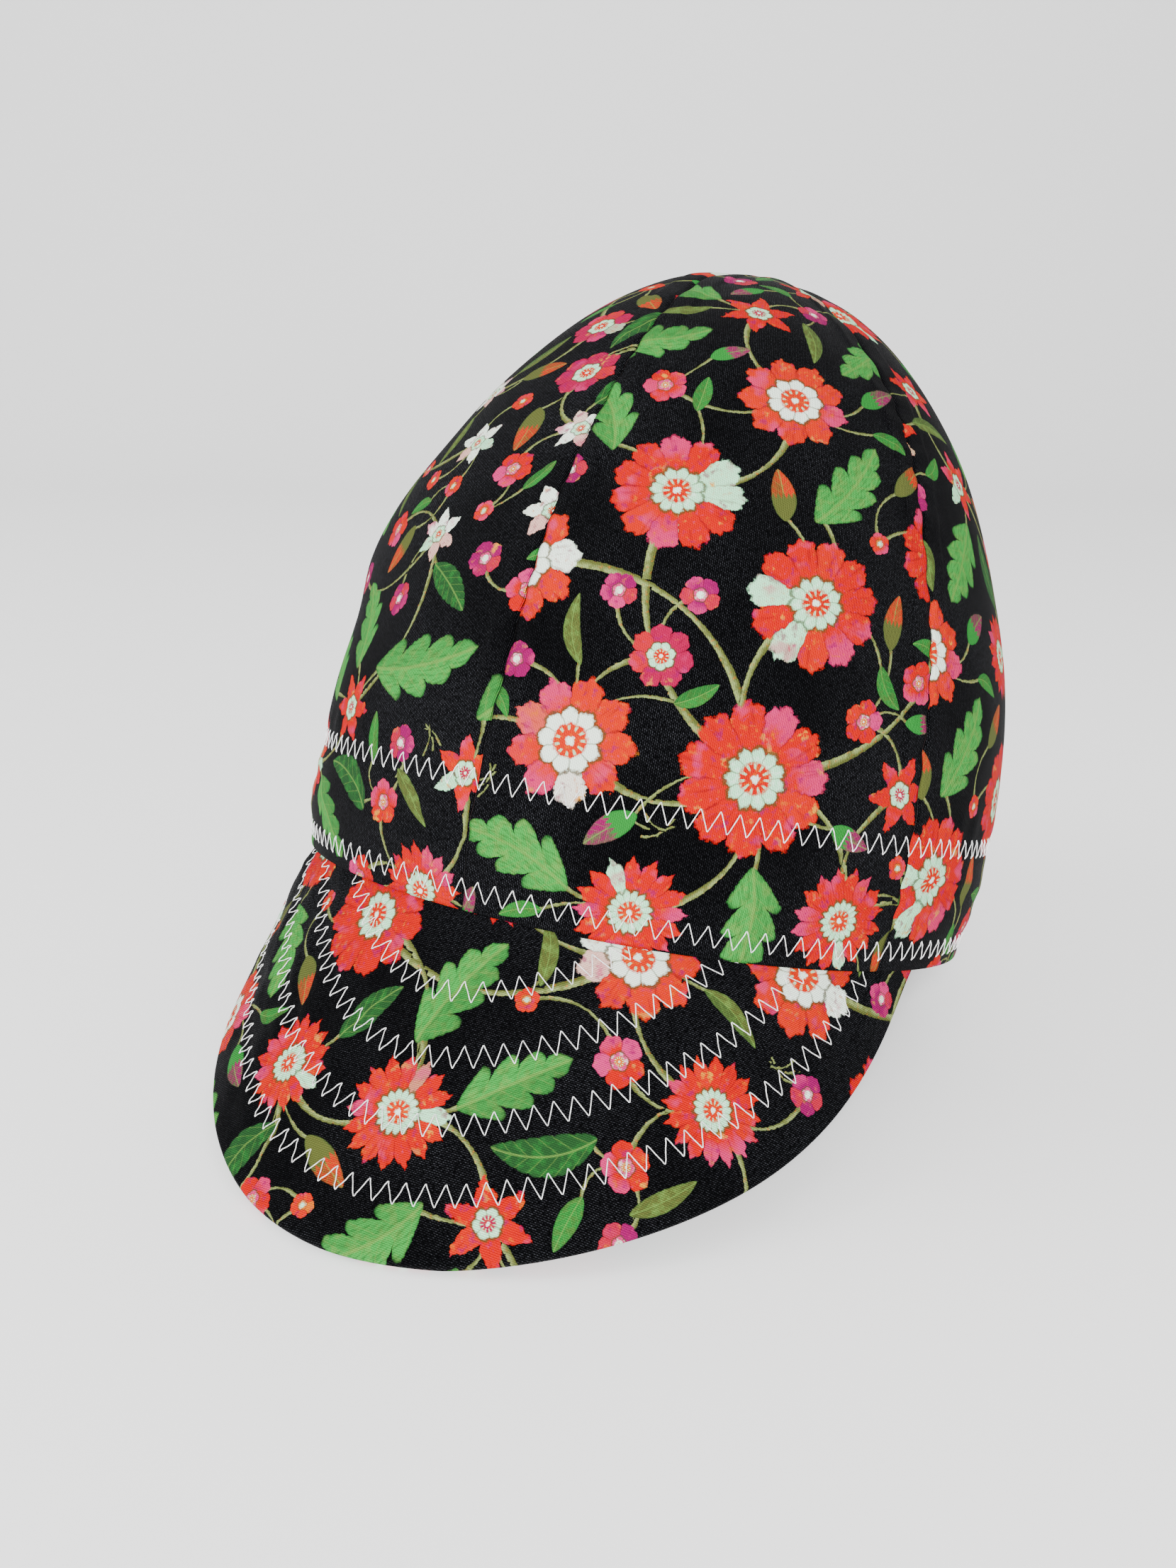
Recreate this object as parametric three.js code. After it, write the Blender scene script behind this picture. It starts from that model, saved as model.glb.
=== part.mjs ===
// A soft cloth cap with a tall crown of six panels, a padded brim and an inner sweatband.
// It stands on the outer edge of its brim and the back of its hem, so its crown leans back.
// Lengths are in millimetres and angles in degrees, 0 at the middle of the front.
import * as THREE from 'three';
import { mergeVertices } from 'three/addons/utils/BufferGeometryUtils.js';

// The opening for the head, over the cloth.
const OPENING_WIDTH = 184;
const OPENING_LENGTH = 179;

// The crown, above the plane of the hem.
const CROWN_HEIGHT = 176.5;
const CROWN_LEAN = 14;
const CROWN_LEAN_POWER = 1.5;
const BAND_HEIGHT = 34.5;
const BAND_SWELL = 2.8;
const DOME_FULLNESS = 1.91;
const TOP_RADIUS = 1.6;

// The panels and the seams between them.
const CLOTH = 1.6;
const SEAM_GAP = 0.3;
const SEAM_DIP = 0.9;
const SIDE_SEAM = 64;
const BACK_SEAM = 122;
const SEAMS = [0, SIDE_SEAM, BACK_SEAM, 180];

// The brim, from the hem at the middle of the front.
const BRIM_LENGTH = 78;
const BRIM_HALF_WIDTH = 116;
const BRIM_SHOULDER = 45;
const BRIM_CORNER = 1.73;
const BRIM_DROOP = 63.5;
const BRIM_FLARE = 0.07;
const BRIM_THICKNESS = 3.2;
const BRIM_ROOT = 12;
const BRIM_ROOT_END = 5;
const BRIM_BEND = 4;
const EDGE_ROUND = 0.84;

// The sweatband and the clearance that the stitched layers keep.
const LAYER_GAP = 0.35;
const SWEATBAND = 1.4;
const SWEATBAND_LOW = 2;
const SWEATBAND_HIGH = 35;
const SWEATBAND_GAP = 0.4;
const SWEATBAND_RUN = 26;

// How far the cloth gives where it meets the table, and over what length.
const PRESS = 1.6;
const PRESS_REACH = 22;

// How finely each piece is divided.
const PANEL_COLUMNS = 10;
const PANEL_ROWS = 22;
const BRIM_COLUMNS = 44;
const BRIM_ROWS = 13;
const ROOT_ROWS = 3;
const SWEATBAND_COLUMNS = 72;
const SWEATBAND_ROWS = 4;

// The small steps over which a slope is measured, in radians and millimetres.
const TURN_STEP = 0.005;
const RISE_STEP = 0.4;

const HALF_WIDTH = OPENING_WIDTH / 2;
const HALF_LENGTH = OPENING_LENGTH / 2;

const radians = THREE.MathUtils.degToRad;
const { clamp, smoothstep } = THREE.MathUtils;

// The share of the opening's half sizes that the crown has at a height.
function breadth(height) {
  const swell = BAND_SWELL / HALF_WIDTH;
  if (height <= BAND_HEIGHT) {
    return 1 + swell * (1 - (1 - Math.max(height, 0) / BAND_HEIGHT) ** 2);
  }
  const rise = clamp((height - BAND_HEIGHT) / (CROWN_HEIGHT - BAND_HEIGHT), 0, 1);
  return (1 + swell) * (1 - rise ** DOME_FULLNESS) ** (1 / DOME_FULLNESS);
}

// A point of the crown's outer face.
function crownPoint(angle, height) {
  const share = breadth(height);
  const lean = CROWN_LEAN * clamp(height / CROWN_HEIGHT, 0, 1) ** CROWN_LEAN_POWER;
  return new THREE.Vector3(
    HALF_WIDTH * share * Math.sin(angle),
    -HALF_LENGTH * share * Math.cos(angle) + lean,
    height,
  );
}

// The direction out of the cloth there, found from its neighbours.
function crownNormal(angle, height) {
  const rise = Math.min(RISE_STEP, (CROWN_HEIGHT - height) / 4);
  const along = crownPoint(angle + TURN_STEP, height).sub(crownPoint(angle - TURN_STEP, height));
  const up = crownPoint(angle, height + rise).sub(crownPoint(angle, Math.max(height - rise, 0)));
  return along.cross(up).normalize();
}

function inCrown(angle, height, inset) {
  return crownPoint(angle, height).addScaledVector(crownNormal(angle, height), -inset);
}

// The height of the crown where its breadth has come down to the small open ring at the top.
function topHeight() {
  const share = TOP_RADIUS / (HALF_WIDTH + BAND_SWELL);
  const rise = (1 - share ** DOME_FULLNESS) ** (1 / DOME_FULLNESS);
  return BAND_HEIGHT + (CROWN_HEIGHT - BAND_HEIGHT) * rise;
}

// The height at a share of the way up a panel, in even steps round the dome.
function panelHeight(share) {
  const band = BAND_HEIGHT / (BAND_HEIGHT + CROWN_HEIGHT);
  if (share <= band) return (BAND_HEIGHT * share) / band;
  const turn = ((share - band) / (1 - band)) * (Math.PI / 2);
  const height = BAND_HEIGHT + (CROWN_HEIGHT - BAND_HEIGHT) * Math.sin(turn) ** (2 / DOME_FULLNESS);
  return Math.min(height, topHeight());
}

// The brim runs straight out from the hem. Its outline is set on the cloth laid flat,
// where u is the distance from the middle and v the distance from the middle of the hem.
const droop = radians(BRIM_DROOP);
const brimRun = [{ angle: 0, u: 0 }];
for (let degree = 1; degree <= 90; degree += 1) {
  const angle = radians(degree);
  const last = brimRun[brimRun.length - 1];
  const across = HALF_WIDTH * (Math.sin(angle) - Math.sin(last.angle));
  const down = HALF_LENGTH * (Math.cos(last.angle) - Math.cos(angle)) * Math.sin(droop);
  brimRun.push({ angle, u: last.u + Math.hypot(across, down) });
}

function brimSide(angle) {
  const place = clamp((Math.abs(angle) * 180) / Math.PI, 0, 90);
  const index = Math.min(Math.floor(place), brimRun.length - 2);
  const share = place - index;
  return brimRun[index].u * (1 - share) + brimRun[index + 1].u * share;
}

// How far the brim reaches out from the hem.
function brimReach(angle) {
  const side = clamp(brimSide(angle) / BRIM_HALF_WIDTH, 0, 1);
  const outline = (1 - side ** BRIM_CORNER) ** (1 / BRIM_CORNER);
  const edge = (BRIM_LENGTH + BRIM_SHOULDER) * outline - BRIM_SHOULDER;
  const hem = -HALF_LENGTH * (1 - Math.cos(angle)) * Math.cos(droop);
  return edge - hem;
}

// The angle where the brim's edge goes in under the hem.
function findBrimEnd() {
  let low = 0;
  let high = Math.PI / 2;
  for (let turn = 0; turn < 40; turn += 1) {
    const middle = (low + high) / 2;
    if (brimReach(middle) > 0) low = middle;
    else high = middle;
  }
  return low;
}
const brimEnd = findBrimEnd();

// A point at a distance out from the hem, or up inside it where that is below 0.
// The brim leaves the hem in line with the crown and then bends to its own slope.
function brimLine(angle, out, inset) {
  if (out <= 0) return inCrown(angle, -out, inset);
  const down = inCrown(angle, 0, inset).sub(inCrown(angle, 1, inset));
  const way = new THREE.Vector3(BRIM_FLARE * Math.sin(angle), -Math.cos(droop), -Math.sin(droop));
  const first = BRIM_BEND * (1 - Math.exp(-out / BRIM_BEND));
  const root = inCrown(angle, 0, inset);
  return root.addScaledVector(down, first).addScaledVector(way, out - first);
}

// How far out from the hem a row of the brim lies. The rows are closest at the edge and the hem.
function brimOut(angle, row) {
  if (row <= BRIM_ROWS) {
    return Math.max(brimReach(angle), 0) * (1 + Math.cos((Math.PI * row) / BRIM_ROWS)) / 2;
  }
  const end = (Math.abs(angle) / brimEnd) ** 6;
  const root = THREE.MathUtils.lerp(BRIM_ROOT, BRIM_ROOT_END, end);
  return (-root * (row - BRIM_ROWS)) / ROOT_ROWS;
}

// A point of the brim on a row, depth 0 on its underside and 1 on its upper face.
// The outer edge is rounded.
function brimPoint(angle, row, depth) {
  const out = brimOut(angle, row);
  const half = BRIM_THICKNESS / 2;
  const near = clamp((brimReach(angle) - out) / half, 0, 1);
  const round = half * Math.sqrt(1 - EDGE_ROUND * (1 - near) ** 2);
  const middle = CLOTH + LAYER_GAP + half;
  const centre = brimLine(angle, out, middle);
  const along = brimLine(angle + TURN_STEP, out, middle).sub(brimLine(angle - TURN_STEP, out, middle));
  const up = brimLine(angle, out - RISE_STEP, middle).sub(brimLine(angle, out + RISE_STEP, middle));
  const normal = along.cross(up).normalize();
  return centre.addScaledVector(normal, (depth * 2 - 1) * round);
}

// The cap leans back until its brim's edge and the back of its hem are level.
const frontFoot = brimPoint(0, 0, 0);
const backFoot = crownPoint(Math.PI, 0);
const pitch = Math.atan2(backFoot.z - frontFoot.z, backFoot.y - frontFoot.y);
const upward = new THREE.Vector3(0, -Math.sin(pitch), Math.cos(pitch));
const table = Math.min(frontFoot.dot(upward), backFoot.dot(upward)) + PRESS;

// Raises a point by what its foot would sink into the table, less with distance from the foot.
function press(point, foot, distance) {
  const sunk = Math.max(table - foot.dot(upward), 0);
  return point.addScaledVector(upward, sunk * (1 - smoothstep(distance, 0, PRESS_REACH)));
}

// A block whose points are moved to where place puts them.
// Its x runs round the cap, its y up and its z out of the cloth, each from 0 to 1.
function block(columns, rows, place) {
  const plain = new THREE.BoxGeometry(1, 1, 1, columns, rows, 1);
  plain.translate(0.5, 0.5, 0.5);
  plain.deleteAttribute('normal');
  plain.deleteAttribute('uv');
  const shape = mergeVertices(plain);
  const points = shape.getAttribute('position');
  for (let index = 0; index < points.count; index += 1) {
    const at = place(points.getX(index), points.getY(index), points.getZ(index));
    points.setXYZ(index, at.x, at.y, at.z);
  }
  shape.computeVertexNormals();
  return shape;
}

function panel(from, to) {
  const low = Math.min(from, to);
  const high = Math.max(from, to);
  return block(PANEL_COLUMNS, PANEL_ROWS, (across, up, out) => {
    const height = panelHeight(up);
    const share = breadth(height);
    const radius = share * Math.min(HALF_WIDTH, HALF_LENGTH);
    const gap = SEAM_GAP / 2 / radius;
    const angle = THREE.MathUtils.lerp(radians(low) + gap, radians(high) - gap, across);
    const seam = (1 - Math.sin(Math.PI * across)) ** 3;
    const dip = SEAM_DIP * seam * smoothstep(height, BAND_HEIGHT, BAND_HEIGHT * 2) * Math.min(share * 2, 1);
    const inset = CLOTH * (1 - out);
    return press(inCrown(angle, height, inset + dip), inCrown(angle, 0, inset), height);
  });
}

function brim() {
  return block(BRIM_COLUMNS, BRIM_ROWS + ROOT_ROWS, (across, up, out) => {
    const angle = THREE.MathUtils.lerp(-brimEnd, brimEnd, across);
    const row = Math.round(up * (BRIM_ROWS + ROOT_ROWS));
    const inward = brimOut(angle, 0) - brimOut(angle, row);
    return press(brimPoint(angle, row, out), brimPoint(angle, 0, 0), inward);
  });
}

// The sweatband lies behind the brim's root at the front and close to the panels at the back.
function sweatband() {
  const end = Math.PI - SWEATBAND_GAP / 2 / HALF_LENGTH;
  const close = CLOTH + LAYER_GAP;
  const behind = close + BRIM_THICKNESS + LAYER_GAP;
  const start = brimEnd + radians(2);
  return block(SWEATBAND_COLUMNS, SWEATBAND_ROWS, (across, up, out) => {
    const angle = THREE.MathUtils.lerp(-end, end, across);
    const height = THREE.MathUtils.lerp(SWEATBAND_LOW, SWEATBAND_HIGH, up);
    const away = smoothstep(Math.abs(angle), start, start + radians(SWEATBAND_RUN));
    const inset = THREE.MathUtils.lerp(behind, close, away) + SWEATBAND * (1 - out);
    return press(inCrown(angle, height, inset), inCrown(angle, 0, CLOTH), height);
  });
}

function piece(name, shape, colour, roughness) {
  const material = new THREE.MeshStandardMaterial({ color: colour, roughness, metalness: 0 });
  const mesh = new THREE.Mesh(shape, material);
  mesh.name = name;
  return mesh;
}

const PRINTED_COTTON = '#2b2426';
const PLAIN_COTTON = '#1b1b1d';

const cap = new THREE.Group();
const places = ['front', 'side', 'back'];
places.forEach((place, index) => {
  const from = SEAMS[index];
  const to = SEAMS[index + 1];
  cap.add(piece(`panel_${place}_left`, panel(from, to), PRINTED_COTTON, 0.85));
  cap.add(piece(`panel_${place}_right`, panel(-from, -to), PRINTED_COTTON, 0.85));
});
cap.add(piece('brim', brim(), PRINTED_COTTON, 0.85));
cap.add(piece('sweatband', sweatband(), PLAIN_COTTON, 0.9));

// The cap is turned to stand as it rests, with the middle of its base at the origin.
cap.rotation.x = -pitch;
cap.updateMatrixWorld(true);
const extent = new THREE.Box3().setFromObject(cap, true);
const middle = extent.getCenter(new THREE.Vector3());
cap.position.set(-middle.x, -middle.y, -extent.min.z);

const weldingCap = new THREE.Group();
weldingCap.add(cap);

export default weldingCap;
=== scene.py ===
import math

import bmesh
import bpy
import numpy as np
from bpy.props import FloatProperty, FloatVectorProperty, IntProperty, PointerProperty
from bpy.types import Operator, Panel, PropertyGroup
from mathutils import Matrix, Vector, kdtree


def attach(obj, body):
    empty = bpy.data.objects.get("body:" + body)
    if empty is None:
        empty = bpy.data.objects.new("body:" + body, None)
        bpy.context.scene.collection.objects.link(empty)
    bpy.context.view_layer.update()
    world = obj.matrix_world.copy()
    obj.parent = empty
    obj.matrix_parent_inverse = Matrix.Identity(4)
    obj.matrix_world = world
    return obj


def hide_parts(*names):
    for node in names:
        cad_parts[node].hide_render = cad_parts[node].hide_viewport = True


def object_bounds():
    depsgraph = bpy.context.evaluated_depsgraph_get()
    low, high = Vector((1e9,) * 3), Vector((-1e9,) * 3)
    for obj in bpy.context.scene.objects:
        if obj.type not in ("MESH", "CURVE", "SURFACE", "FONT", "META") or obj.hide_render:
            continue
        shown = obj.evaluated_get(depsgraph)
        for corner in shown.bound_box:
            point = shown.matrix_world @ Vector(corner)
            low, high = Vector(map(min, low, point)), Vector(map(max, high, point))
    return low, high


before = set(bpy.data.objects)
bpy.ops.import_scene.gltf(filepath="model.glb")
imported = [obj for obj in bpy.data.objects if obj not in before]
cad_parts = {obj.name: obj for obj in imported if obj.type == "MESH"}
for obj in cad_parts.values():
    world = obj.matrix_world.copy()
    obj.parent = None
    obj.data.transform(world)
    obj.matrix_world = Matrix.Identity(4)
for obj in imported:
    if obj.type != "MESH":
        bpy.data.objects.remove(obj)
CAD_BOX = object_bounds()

bl_info = {
    "name": "Welding Cap",
    "version": (1, 0, 0),
    "blender": (4, 5, 0),
    "location": "3D View > Sidebar > Cap",
    "description": "Builds a soft printed cotton cap with a padded, zigzag-stitched brim",
    "category": "Add Mesh",
}

MM = 0.001
FULL_TURN = 2 * math.pi

# The seams run up the crown at these angles from the middle of the front, in degrees.
SEAM_ANGLES = (-122.0, -64.0, 0.0, 64.0, 122.0, 180.0)

# Soft dents and fullnesses of the standing crown. Those beside the side seams lie at even steps
# of height and are given by how far the cloth stands out in mm. All the forms are then: angle,
# height in shares of the crown's height, spread in degrees and in shares of the height, and mm.
FORMS_BESIDE_SEAMS = {
    -61.0: (0.6, -2.4, -0.8, -1.8, 2.1, 0.9, -2.8, -0.5, -1.6),
    119.0: (-2.4, -0.4, 2.0, 1.0, 1.4, -1.2, -2.2, 1.7, 1.8),
}
SOFT_FORMS = [
    (at, 0.060 + 0.098 * step, 17.0, 0.075, out)
    for at, outs in FORMS_BESIDE_SEAMS.items()
    for step, out in enumerate(outs)
] + [
    (20.0, 0.46, 16.0, 0.14, 1.2),
    (38.0, 0.28, 14.0, 0.08, -1.0),
    (-30.0, 0.34, 12.0, 0.12, -1.2),
    (-18.0, 0.62, 14.0, 0.12, 1.0),
    (165.0, 0.32, 20.0, 0.10, -1.0),
    (-150.0, 0.42, 24.0, 0.14, -1.2),
    (150.0, 0.62, 20.0, 0.14, 1.4),
]

# How the brim's edge strays from its even outline, in mm, as shares of five slow waves round it:
# how much further out it runs, and how much it is lifted.
BRIM_LONGER = (0.94, -0.19, -1.34, 0.97, -0.18)
BRIM_LIFTED = (1.41, -0.37, -1.25, 0.12, 0.53)

# The right side of the brim also stands a little wider: about which angle, in degrees, by how
# many mm, and over how many degrees.
BRIM_SIDE = (-60.0, 2.4, 24.0)

# Where on the print's repeat each piece was cut, in mm.
CUTS = {
    "panel_front_left": (12.0, 34.0),
    "panel_front_right": (118.0, 150.0),
    "panel_side_left": (64.0, 92.0),
    "panel_side_right": (170.0, 20.0),
    "panel_back_left": (30.0, 190.0),
    "panel_back_right": (140.0, 75.0),
    "brim": (90.0, 128.0),
}
# The brim's lower cloth was cut this far down the print from its upper one, in mm.
UNDER_CUT = 140

# Points across and up each sheet of cloth or paper.
PANEL_GRID = (76, 150)
BRIM_COLUMNS = 170
SWEATBAND_GRID = (260, 44)
TAPE_GRID = (8, 90)
PAPER_GRID = (2, 120)

# How far round to look to each side for the direction along a surface, in radians.
TURN_STEP = 0.005

# Soft lamps aimed at the cap: name, place in metres, share of the key light's power, and width.
LIGHTS = (
    ("key", (0.75, -1.85, 1.15), 1.0, 0.8),
    ("fill", (-1.7, -0.7, 1.3), 0.18, 1.4),
    ("top", (0.3, 1.2, 2.1), 0.08, 1.6),
)
SURROUND_LIGHT = 0.95

# The camera's own directions, and its place in mm.
CAMERA_RIGHT = (0.8752, 0.4836, 0.0072)
CAMERA_UP = (-0.1783, 0.3087, 0.9343)
CAMERA_BACK = (0.4496, -0.8190, 0.3564)
CAMERA_AT = (141.04, -272.91, 178.56)


# ---- sizes and colours that a user would change


def length(name, default, low, high, description):
    return FloatProperty(
        name=name, description=description, default=default, min=low, max=high, unit="LENGTH"
    )


def share(name, default, description):
    return FloatProperty(
        name=name, description=description, default=default, min=0.0, max=1.0, subtype="FACTOR"
    )


def colour(name, default, description):
    return FloatVectorProperty(
        name=name, description=description, default=default, size=3, subtype="COLOR",
        min=0.0, max=1.0,
    )


class CapSizes(PropertyGroup):
    opening_width: length("Opening width", 0.184, 0.15, 0.22, "Head opening, side to side")
    opening_length: length("Opening length", 0.179, 0.15, 0.24, "Head opening, front to back")
    crown_height: length("Crown height", 0.1765, 0.1, 0.25, "Height of the crown above the hem")
    crown_lean: length(
        "Crown lean", 0.014, 0.0, 0.05, "How far the top lies behind the middle of the opening"
    )
    band_height: length(
        "Band height", 0.0345, 0.01, 0.08, "Height of the straight foot of the crown"
    )
    band_swell: length("Band swell", 0.0028, 0.0, 0.02, "How far the crown spreads above the hem")
    brim_length: length("Brim length", 0.078, 0.03, 0.12, "Brim at the middle of the front")
    brim_half_width: length(
        "Brim half width", 0.116, 0.06, 0.16, "Half the spread of the brim's outline, laid flat"
    )
    brim_shoulder: length(
        "Brim shoulder", 0.045, 0.0, 0.09, "How far behind the hem's middle the brim is widest"
    )
    brim_droop: FloatProperty(
        name="Brim droop", description="Slope of the brim below the plane of the hem",
        default=math.radians(63.5), min=0.0, max=1.5, subtype="ANGLE",
    )
    cloth: length("Cloth", 0.0007, 0.0002, 0.003, "Thickness of the sewn cloth wall")


class PrintSettings(PropertyGroup):
    tile_width: length("Repeat width", 0.21, 0.05, 0.6, "Width of the print's repeat")
    tile_height: length("Repeat height", 0.23, 0.05, 0.6, "Height of the print's repeat")
    seed: IntProperty(
        name="Layout", description="Which scatter of flowers is used", default=11, min=0
    )
    ground: colour("Ground", (0.0009, 0.0009, 0.0011), "Colour of the cloth between the flowers")
    sheen: share("Sheen", 0.004, "Soft grey sheen of the cotton")


class StitchSettings(PropertyGroup):
    width: length("Stitch width", 0.005, 0.001, 0.012, "Width of a zigzag row, point to point")
    pitch: length(
        "Stitch pitch", 0.0043, 0.001, 0.012, "Length of one zig and one zag along the row"
    )
    thread: length("Thread", 0.00024, 0.0001, 0.001, "Diameter of the thread")
    low_row: length(
        "Low row", 0.0053, 0.001, 0.03, "Height of the crown's lower row above the hem"
    )
    high_row: length(
        "High row", 0.0302, 0.01, 0.06, "Height of the crown's upper row above the hem"
    )
    brim_gap: length("Brim row gap", 0.0146, 0.005, 0.03, "Distance between the rows on the brim")
    colour: colour("Thread colour", (0.78, 0.78, 0.77), "Colour of the zigzag thread")


class StageSettings(PropertyGroup):
    lens: FloatProperty(
        name="Lens", description="Focal length on a 36 mm frame",
        default=1700 * 36 / 2212, min=10.0, max=200.0,
    )
    key_power: FloatProperty(
        name="Key light", description="Power of the large soft light above the front",
        default=140.0, min=0.0, max=2000.0, unit="POWER",
    )
    floor_shade: share("Floor shade", 0.82, "Brightness of the pale floor")


# ---- the form of the cap


def ease(value, low, high):
    """0 below low, 1 above high and smooth between them."""
    part = np.clip((value - low) / (high - low), 0.0, 1.0)
    return part * part * (3 - 2 * part)


def unit(vectors):
    return vectors / np.maximum(np.linalg.norm(vectors, axis=-1, keepdims=True), 1e-9)


def walked(points):
    """How far along a line of points each of them lies."""
    steps = np.linalg.norm(np.diff(points, axis=0), axis=1)
    return np.concatenate([[0.0], np.cumsum(steps)])


class CapForm:
    """The cap's surfaces. Inside it, lengths are in millimetres and angles in radians, 0 at the
    middle of the front, and points are in the cap's own frame, with the hem's plane level."""

    # How slowly the lean sets in with height, and how full the dome is.
    lean_power = 1.5
    fullness = 1.91
    # How square the brim's outline is, how it spreads sideways, and how softly it bends down.
    corner = 1.73
    flare = 0.07
    bend = 4.0
    # The crown's wall, the gap between layers, and the brim with the share left at its edge.
    wall = 1.6
    layer_gap = 0.35
    brim_thickness = 3.2
    edge_round = 0.4
    brim_rows = 4
    # How deep the foot is pressed on the table, and how far up the cloth that can be seen.
    press_depth = 1.6
    press_reach = 22.0

    def __init__(self, sizes, stitches):
        self.a = sizes.opening_width / MM / 2
        self.b = sizes.opening_length / MM / 2
        self.height = sizes.crown_height / MM
        self.lean = sizes.crown_lean / MM
        self.band = sizes.band_height / MM
        self.swell = sizes.band_swell / MM
        self.length = sizes.brim_length / MM
        self.spread = sizes.brim_half_width / MM
        self.shoulder = sizes.brim_shoulder / MM
        self.droop = sizes.brim_droop
        self.cloth = sizes.cloth / MM
        self.low_row = stitches.low_row / MM
        self.high_row = stitches.high_row / MM
        self.row_gap = stitches.brim_gap / MM
        # How far round the hem each angle lies, on the brim's cloth laid flat.
        self.turns = np.radians(np.arange(0, 91))
        across = self.a * np.sin(self.turns)
        down = self.b * (1 - np.cos(self.turns)) * math.sin(self.droop)
        self.runs = walked(np.column_stack([across, down]))
        fine = np.linspace(0.3, math.pi / 2, 4000)
        self.brim_end = float(fine[np.argmax(self.reach(fine) <= 0)])
        self._stand()

    # the crown

    def breadth(self, height):
        swell = self.swell / self.a
        low = np.clip(height / self.band, 0, 1)
        foot = 1 + swell * (1 - (1 - low) ** 2)
        rise = np.clip((height - self.band) / (self.height - self.band), 0, 1)
        dome = (1 + swell) * (1 - rise**self.fullness) ** (1 / self.fullness)
        return np.where(height <= self.band, foot, dome)

    def crown(self, angle, height):
        breadth = self.breadth(height)
        lean = self.lean * np.clip(height / self.height, 0, 1) ** self.lean_power
        x = self.a * breadth * np.sin(angle)
        y = -self.b * breadth * np.cos(angle) + lean
        return np.stack(np.broadcast_arrays(x, y, height), -1)

    def crown_out(self, angle, height):
        """The direction out of the crown."""
        rise = np.minimum(0.4, (self.height - height) / 4)
        along = self.crown(angle + TURN_STEP, height) - self.crown(angle - TURN_STEP, height)
        up = self.crown(angle, height + rise) - self.crown(angle, np.maximum(height - rise, 0))
        return unit(np.cross(along, up))

    def on_crown(self, angle, height, inset=0.0):
        inset = np.asarray(inset, float)
        return self.crown(angle, height) - self.crown_out(angle, height) * inset[..., None]

    def meridian(self):
        """Heights at even steps of distance up the middle of a panel: (distances, heights)."""
        turn = np.linspace(0, math.pi / 2, 600)
        dome = self.band + (self.height - self.band) * np.sin(turn) ** (2 / self.fullness)
        heights = np.concatenate([np.linspace(0, self.band, 60)[:-1], dome])
        return walked(self.crown(np.full_like(heights, 0.6), heights)), heights

    def radius(self, height):
        return self.breadth(height) * (self.a + self.b) / 2

    def seam_distance(self, angle, height):
        """(distance to the nearest seam, which seam)."""
        seams = np.radians(np.array(SEAM_ANGLES))
        away = np.abs((angle[..., None] - seams + math.pi) % FULL_TURN - math.pi)
        return away.min(-1) * self.radius(height), away.argmin(-1)

    def crown_relief(self, angle, height):
        """How far the cloth stands out from the plain crown, in millimetres."""
        angle, height = np.broadcast_arrays(np.asarray(angle, float), np.asarray(height, float))
        away, which = self.seam_distance(angle, height)
        radius = self.radius(height)
        free = ease(height, self.high_row, self.high_row + 22)
        taper = np.clip(radius / 25, 0, 1)
        phase = which * 1.7
        # Beside a seam: its groove, the allowance folded behind it, and small puckers.
        groove = -(0.30 + 0.20 * free) * np.exp(-((away / 0.7) ** 1.6)) * np.clip(taper * 2, 0, 1)
        allowance = 0.42 * free * ease(-away, -7.5, -5.5) * taper
        pucker = np.sin(height * 0.74 + phase + 1.3 * np.sin(height * 0.11 + phase))
        pucker = 0.34 * np.exp(-away / 5.0) * pucker * taper * (0.35 + 0.65 * free)
        full = np.sin(np.clip(away / np.maximum(radius * 0.5, 1), 0, 1) * math.pi / 2)
        full = (1.1 * full - 1.2) * free * taper
        total = groove + allowance + pucker + full - 0.2
        # The cloth dips at both rows of stitches, and hangs a little full and creased between.
        for row in (self.low_row, self.high_row):
            total = total - 0.42 * np.exp(-(((height - row) / 2.6) ** 2))
        between = np.clip((height - self.low_row) / (self.high_row - self.low_row), 0, 1)
        creases = np.sin(height * 0.95 + away * 0.06 + phase * 2)
        drape = (
            0.35
            + 0.28 * np.sin(angle * 5.0 + 0.9 * np.sin(angle * 3 + 1.0))
            + 0.22 * np.sin(height * 0.62 + 2.2 * np.sin(angle * 4.0 + 0.5))
            + 0.55 * np.exp(-np.abs(away - 8) / 12) * creases
        )
        total = total + np.sin(math.pi * between) * drape
        tug = 0.16 * np.sin(angle * self.a / 4.3 * math.pi)
        total = total + tug * np.exp(-(((height - self.high_row - 5) / 4.0) ** 2))
        # Large soft forms and a slow waver of the free cloth.
        degrees, level = np.degrees(angle), height / self.height
        for at, middle, wide, tall, out in SOFT_FORMS:
            turn = (degrees - at + 180) % 360 - 180
            total = total + out * np.exp(-((turn / wide) ** 2) - ((level - middle) / tall) ** 2)
        waver = (
            np.sin(angle * 4 + 0.045 * height + 0.4) + np.sin(angle * 7 - 0.07 * height + 2.1)
            + np.sin(angle * 2 + 0.11 * height + 4.0)
        )
        return total + 0.3 * free * taper * waver

    # the brim

    def edge_forward(self, across, inset):
        """How far forward the brim's outline lies, drawn in by inset, on the cloth laid flat."""
        side = np.clip(np.abs(across) / (self.spread - inset), 0, 1)
        outline = (1 - side**self.corner) ** (1 / self.corner)
        return (self.length + self.shoulder - inset) * outline - self.shoulder

    def reach(self, angle):
        """How far the brim goes out from the hem."""
        return self.edge_forward(self.run_at(np.abs(angle)), 0.0) - self.hem_fall(angle)

    def run_at(self, angle):
        return np.interp(angle, self.turns, self.runs)

    def hem_fall(self, angle):
        return -self.b * (1 - np.cos(angle)) * math.cos(self.droop)

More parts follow.
